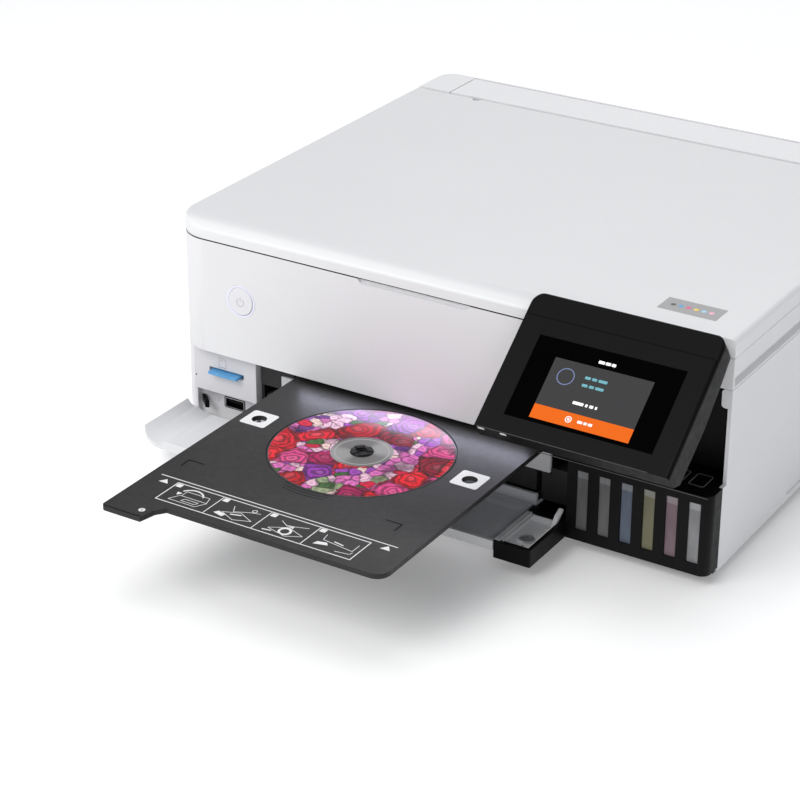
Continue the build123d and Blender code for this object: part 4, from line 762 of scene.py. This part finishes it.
# two small pale tabs under the panel's lower edge
s = Shapes(Plane(face.at(0, -97.2), (1, 0, 0), face.n), -0.3, 0.25)
for xa, xb in ((72.6, 77.0), (88.0, 92.2)):
    s.rrect(xa, -2.9, xb, -0.9, 0.5)
s.make("panel_tabs", "control_panel", m_mark_white)

# ---------------------------------------------------------------- power button symbol
s = Shapes(FRONT(-180.2), 0.0, 0.03)
s.arc(-150.5, 110.4, 2.55, 3.05, 125, 415, 28)
s.rrect(-150.75, 110.6, -150.25, 114.2, 0.2)
s.make("power_symbol", "power_button", m_mark_soft)

# ---------------------------------------------------------------- card slot and port marks
s = Shapes(FRONT(-171.5), 0.0, 0.04)
s.path([(-176.0, 52.8), (-176.0, 59.8), (-172.2, 59.8), (-170.2, 57.8), (-170.2, 52.8)], 0.34, True)
s.line((-174.6, 58.9), (-174.6, 57.3), 0.34)
s.line((-173.2, 58.9), (-173.2, 57.3), 0.34)
s.make("card_icon", "housing", m_mark_grey)
s = Shapes(FRONT(-164.5), 0.0, 0.04)
s.line((-185.8, 21.4), (-184.2, 24.4), 0.32)
s.line((-183.0, 21.0), (-182.0, 25.0), 0.32)
s.line((-182.2, 23.9), (-179.8, 24.3), 0.32)
s.line((-182.6, 22.2), (-181.4, 22.5), 0.32)
s.make("port_icon", "housing", m_mark_soft)

# ---------------------------------------------------------------- painted shadow lines in the seams
arc = [(-181.6 + 25.4 * math.cos(math.radians(a)), -154.1 + 25.4 * math.sin(math.radians(a))) for a in range(189, 271, 3)]
ribbon("lid_seam_painted_shadow", [(arc + [(-56.8, -179.5)], 149.15, 149.95), ([(-56.8, -179.5), (27.1, -179.5)], 149.55, 149.95),
                          ([(27.1, -179.5), (69.5, -179.5)], 149.15, 149.95)], "housing", m_mark_black)

# ---------------------------------------------------------------- under the mouth: hinge arm, tub and strap
solid("cover_hinge_arm", [(-197.0, 15.9), (-194.6, 18.4), (-188.4, 24.2), (-182.4, 26.9), (-181.2, 25.0), (-187.2, 21.4), (-192.6, 15.9)], "x", 96.6, 99.6,
      "front_cover", m_lightgrey, 0.3)
solid("cover_hinge_foot", [(94.5, -197.0), (101.5, -194.5), (100.0, -189.4), (96.4, -189.4)], "z", 15.9, 17.6, "front_cover", m_lightgrey, 0.3)
s = Shapes(TOP(17.2), -0.6, 0.5)
s.ring(90.7, -213.0, 2.7, 4.6, 40)
s.ring(90.7, -213.0, 0.9, 1.9, 24, hi=0.9)
s.make("tub_screw", "front_cover", m_zinc)
s = Shapes(TOP(16.0), 0.0, 0.05)
s.dot(91.6, -220.9, 1.0, 20)
s.make("tub_drain", "front_cover", m_mark_black)
s = Shapes(TOP(20.7), -0.3, 0.35)
for x in (79.0, 82.0):
    s.rrect(x - 0.35, -229.0, x + 0.35, -188.5, 0.3)
s.make("tub_ridges", "front_cover", m_lightgrey)
solid("cover_strap", [(-196.0, -165.4), (-192.5, -165.0), (-184.5, -172.6), (-187.0, -174.0)], "z", 19.5, 25.0, "housing", m_mark_black, 0.4)
s = Shapes(FRONT(-164.5), -0.2, 0.30)
s.frame(-176.6, 19.6, -160.6, 26.8, 0.40, 0.8)
s.make("usb_port_frame", "housing", m_steel)
s = Shapes(FRONT(-164.5), -0.2, 0.15)
s.frame(-177.4, 18.9, -159.8, 27.5, 0.8, 1.2)
s.make("usb_port_surround", "housing", m_mark_black)
s = Shapes(FRONT(-171.5), 0.0, 0.04)
s.rrect(-196.6, 41.6, -195.2, 42.6, 0.3)
s.make("card_panel_mark", "housing", m_mark_dark)

# ---------------------------------------------------------------- ink unit: painted highlight along its front edge and the outlined marks on its top
s = Shapes(FRONT(-184.5), 0.0, 0.05)
s.rect(78.0, 63.2, 199.0, 63.7)
s.make("ink_unit_edge", "housing", m_painted_edge_highlight)
s = Shapes(TOP(64.3), 0.0, 0.04)
s.frame(180.2, -173.6, 191.0, -157.6, 0.55, 1.6)
s.path([(171.6, -157.4), (175.6, -158.6), (175.8, -171.4), (173.4, -172.6)], 0.5)
s.make("ink_unit_marks", "housing", m_mark_grey)

# ---------------------------------------------------------------- lid sticker, plain with six dots
s = Shapes(TOP(162.0), 0.0, 0.05)
s.rrect(139.0, -143.5, 179.0, -125.0, 0.6)
s.make("lid_sticker", "document_cover", m_sticker)
DOTS = ((0.012, 0.012, 0.014), (0.02, 0.28, 0.62), (0.72, 0.03, 0.22), (0.80, 0.55, 0.03), (0.30, 0.55, 0.75), (0.80, 0.36, 0.50))
for i, c in enumerate(DOTS):
    s = Shapes(TOP(162.0), 0.05, 0.08)
    s.dot(146.0 + 5.2 * i, -134.2, 1.75)
    s.make("sticker_dot_%d" % (i + 1), "document_cover", ink_dot("sticker_ink_%d" % (i + 1), c))

# ---------------------------------------------------------------- stage and light
def stage_floor():
    me = bpy.data.meshes.new("floor")
    n, L = 24, 9.0
    # flat in front, swept up far behind
    V, F = [], []
    prof = [(-L, 0.0), (3.2, 0.0)]
    for i in range(1, 13):
        a = math.radians(90 * i / 12)
        prof.append((3.2 + 2.0 * math.sin(a), 2.0 - 2.0 * math.cos(a)))
    prof.append((5.2, 7.0))
    for y, z in prof:
        V += [(-L, y, z), (L, y, z)]
    for i in range(len(prof) - 1):
        F.append((2 * i, 2 * i + 1, 2 * i + 3, 2 * i + 2))
    me.from_pydata(V, [], F)
    me.update()
    for p in me.polygons:
        p.use_smooth = True
    ob = bpy.data.objects.new("floor", me)
    scene.collection.objects.link(ob)
    m = Mat("floor_white", Roughness=0.7, Specular_IOR_Level=0.2)
    m.set("Base Color", m.ramp(m.noise(2.0), [(0.3, (0.88, 0.88, 0.885)), (0.7, (0.90, 0.90, 0.90))]))
    m.set("Emission Color", (1.0, 1.0, 1.0))
    m.set("Emission Strength", 0.17)
    me.materials.append(m.m)


stage_floor()


def area(name, loc, target, size, power, color=(1, 1, 1), size_y=None, glossy=True):
    d = bpy.data.lights.new(name, "AREA")
    d.energy, d.color = power, color
    d.shape = "RECTANGLE"
    d.size, d.size_y = size, size_y or size
    ob = bpy.data.objects.new(name, d)
    scene.collection.objects.link(ob)
    ob.location = loc
    ob.rotation_mode = "QUATERNION"
    ob.rotation_quaternion = (Vector(target) - Vector(loc)).to_track_quat("-Z", "Y")
    ob.visible_glossy = glossy
    return ob


w = bpy.data.worlds.new("world")
scene.world = w
w.use_nodes = True
bg = w.node_tree.nodes["Background"]
bg.inputs["Color"].default_value = (0.94, 0.96, 1.0, 1.0)
bg.inputs["Strength"].default_value = 0.34
area("key", (-0.85, -2.1, 2.1), (0, -0.05, 0.08), 1.6, 53, (1.0, 0.995, 0.985))
area("top", (-0.15, -0.35, 2.4), (-0.02, -0.12, 0.05), 1.6, 15, glossy=False)
area("right", (2.4, 0.2, 0.9), (0.1, 0, 0.08), 1.2, 2, (0.95, 0.97, 1.0), glossy=False)
area("fill_right", (1.25, -1.75, 0.75), (0.09, -0.21, 0.03), 0.7, 4.5, (0.98, 0.99, 1.0), glossy=False)
area("rear_strip", (-0.5, 1.9, 1.5), (0, 0, 0.1), 1.4, 8, size_y=0.4)
glow = area("mouth_glow", (-0.015, -0.1812, 0.0765), (-0.015, -0.30, 0.0700), 0.175, 0.037, (0.78, 0.80, 1.0), size_y=0.010)
glow.visible_camera = False
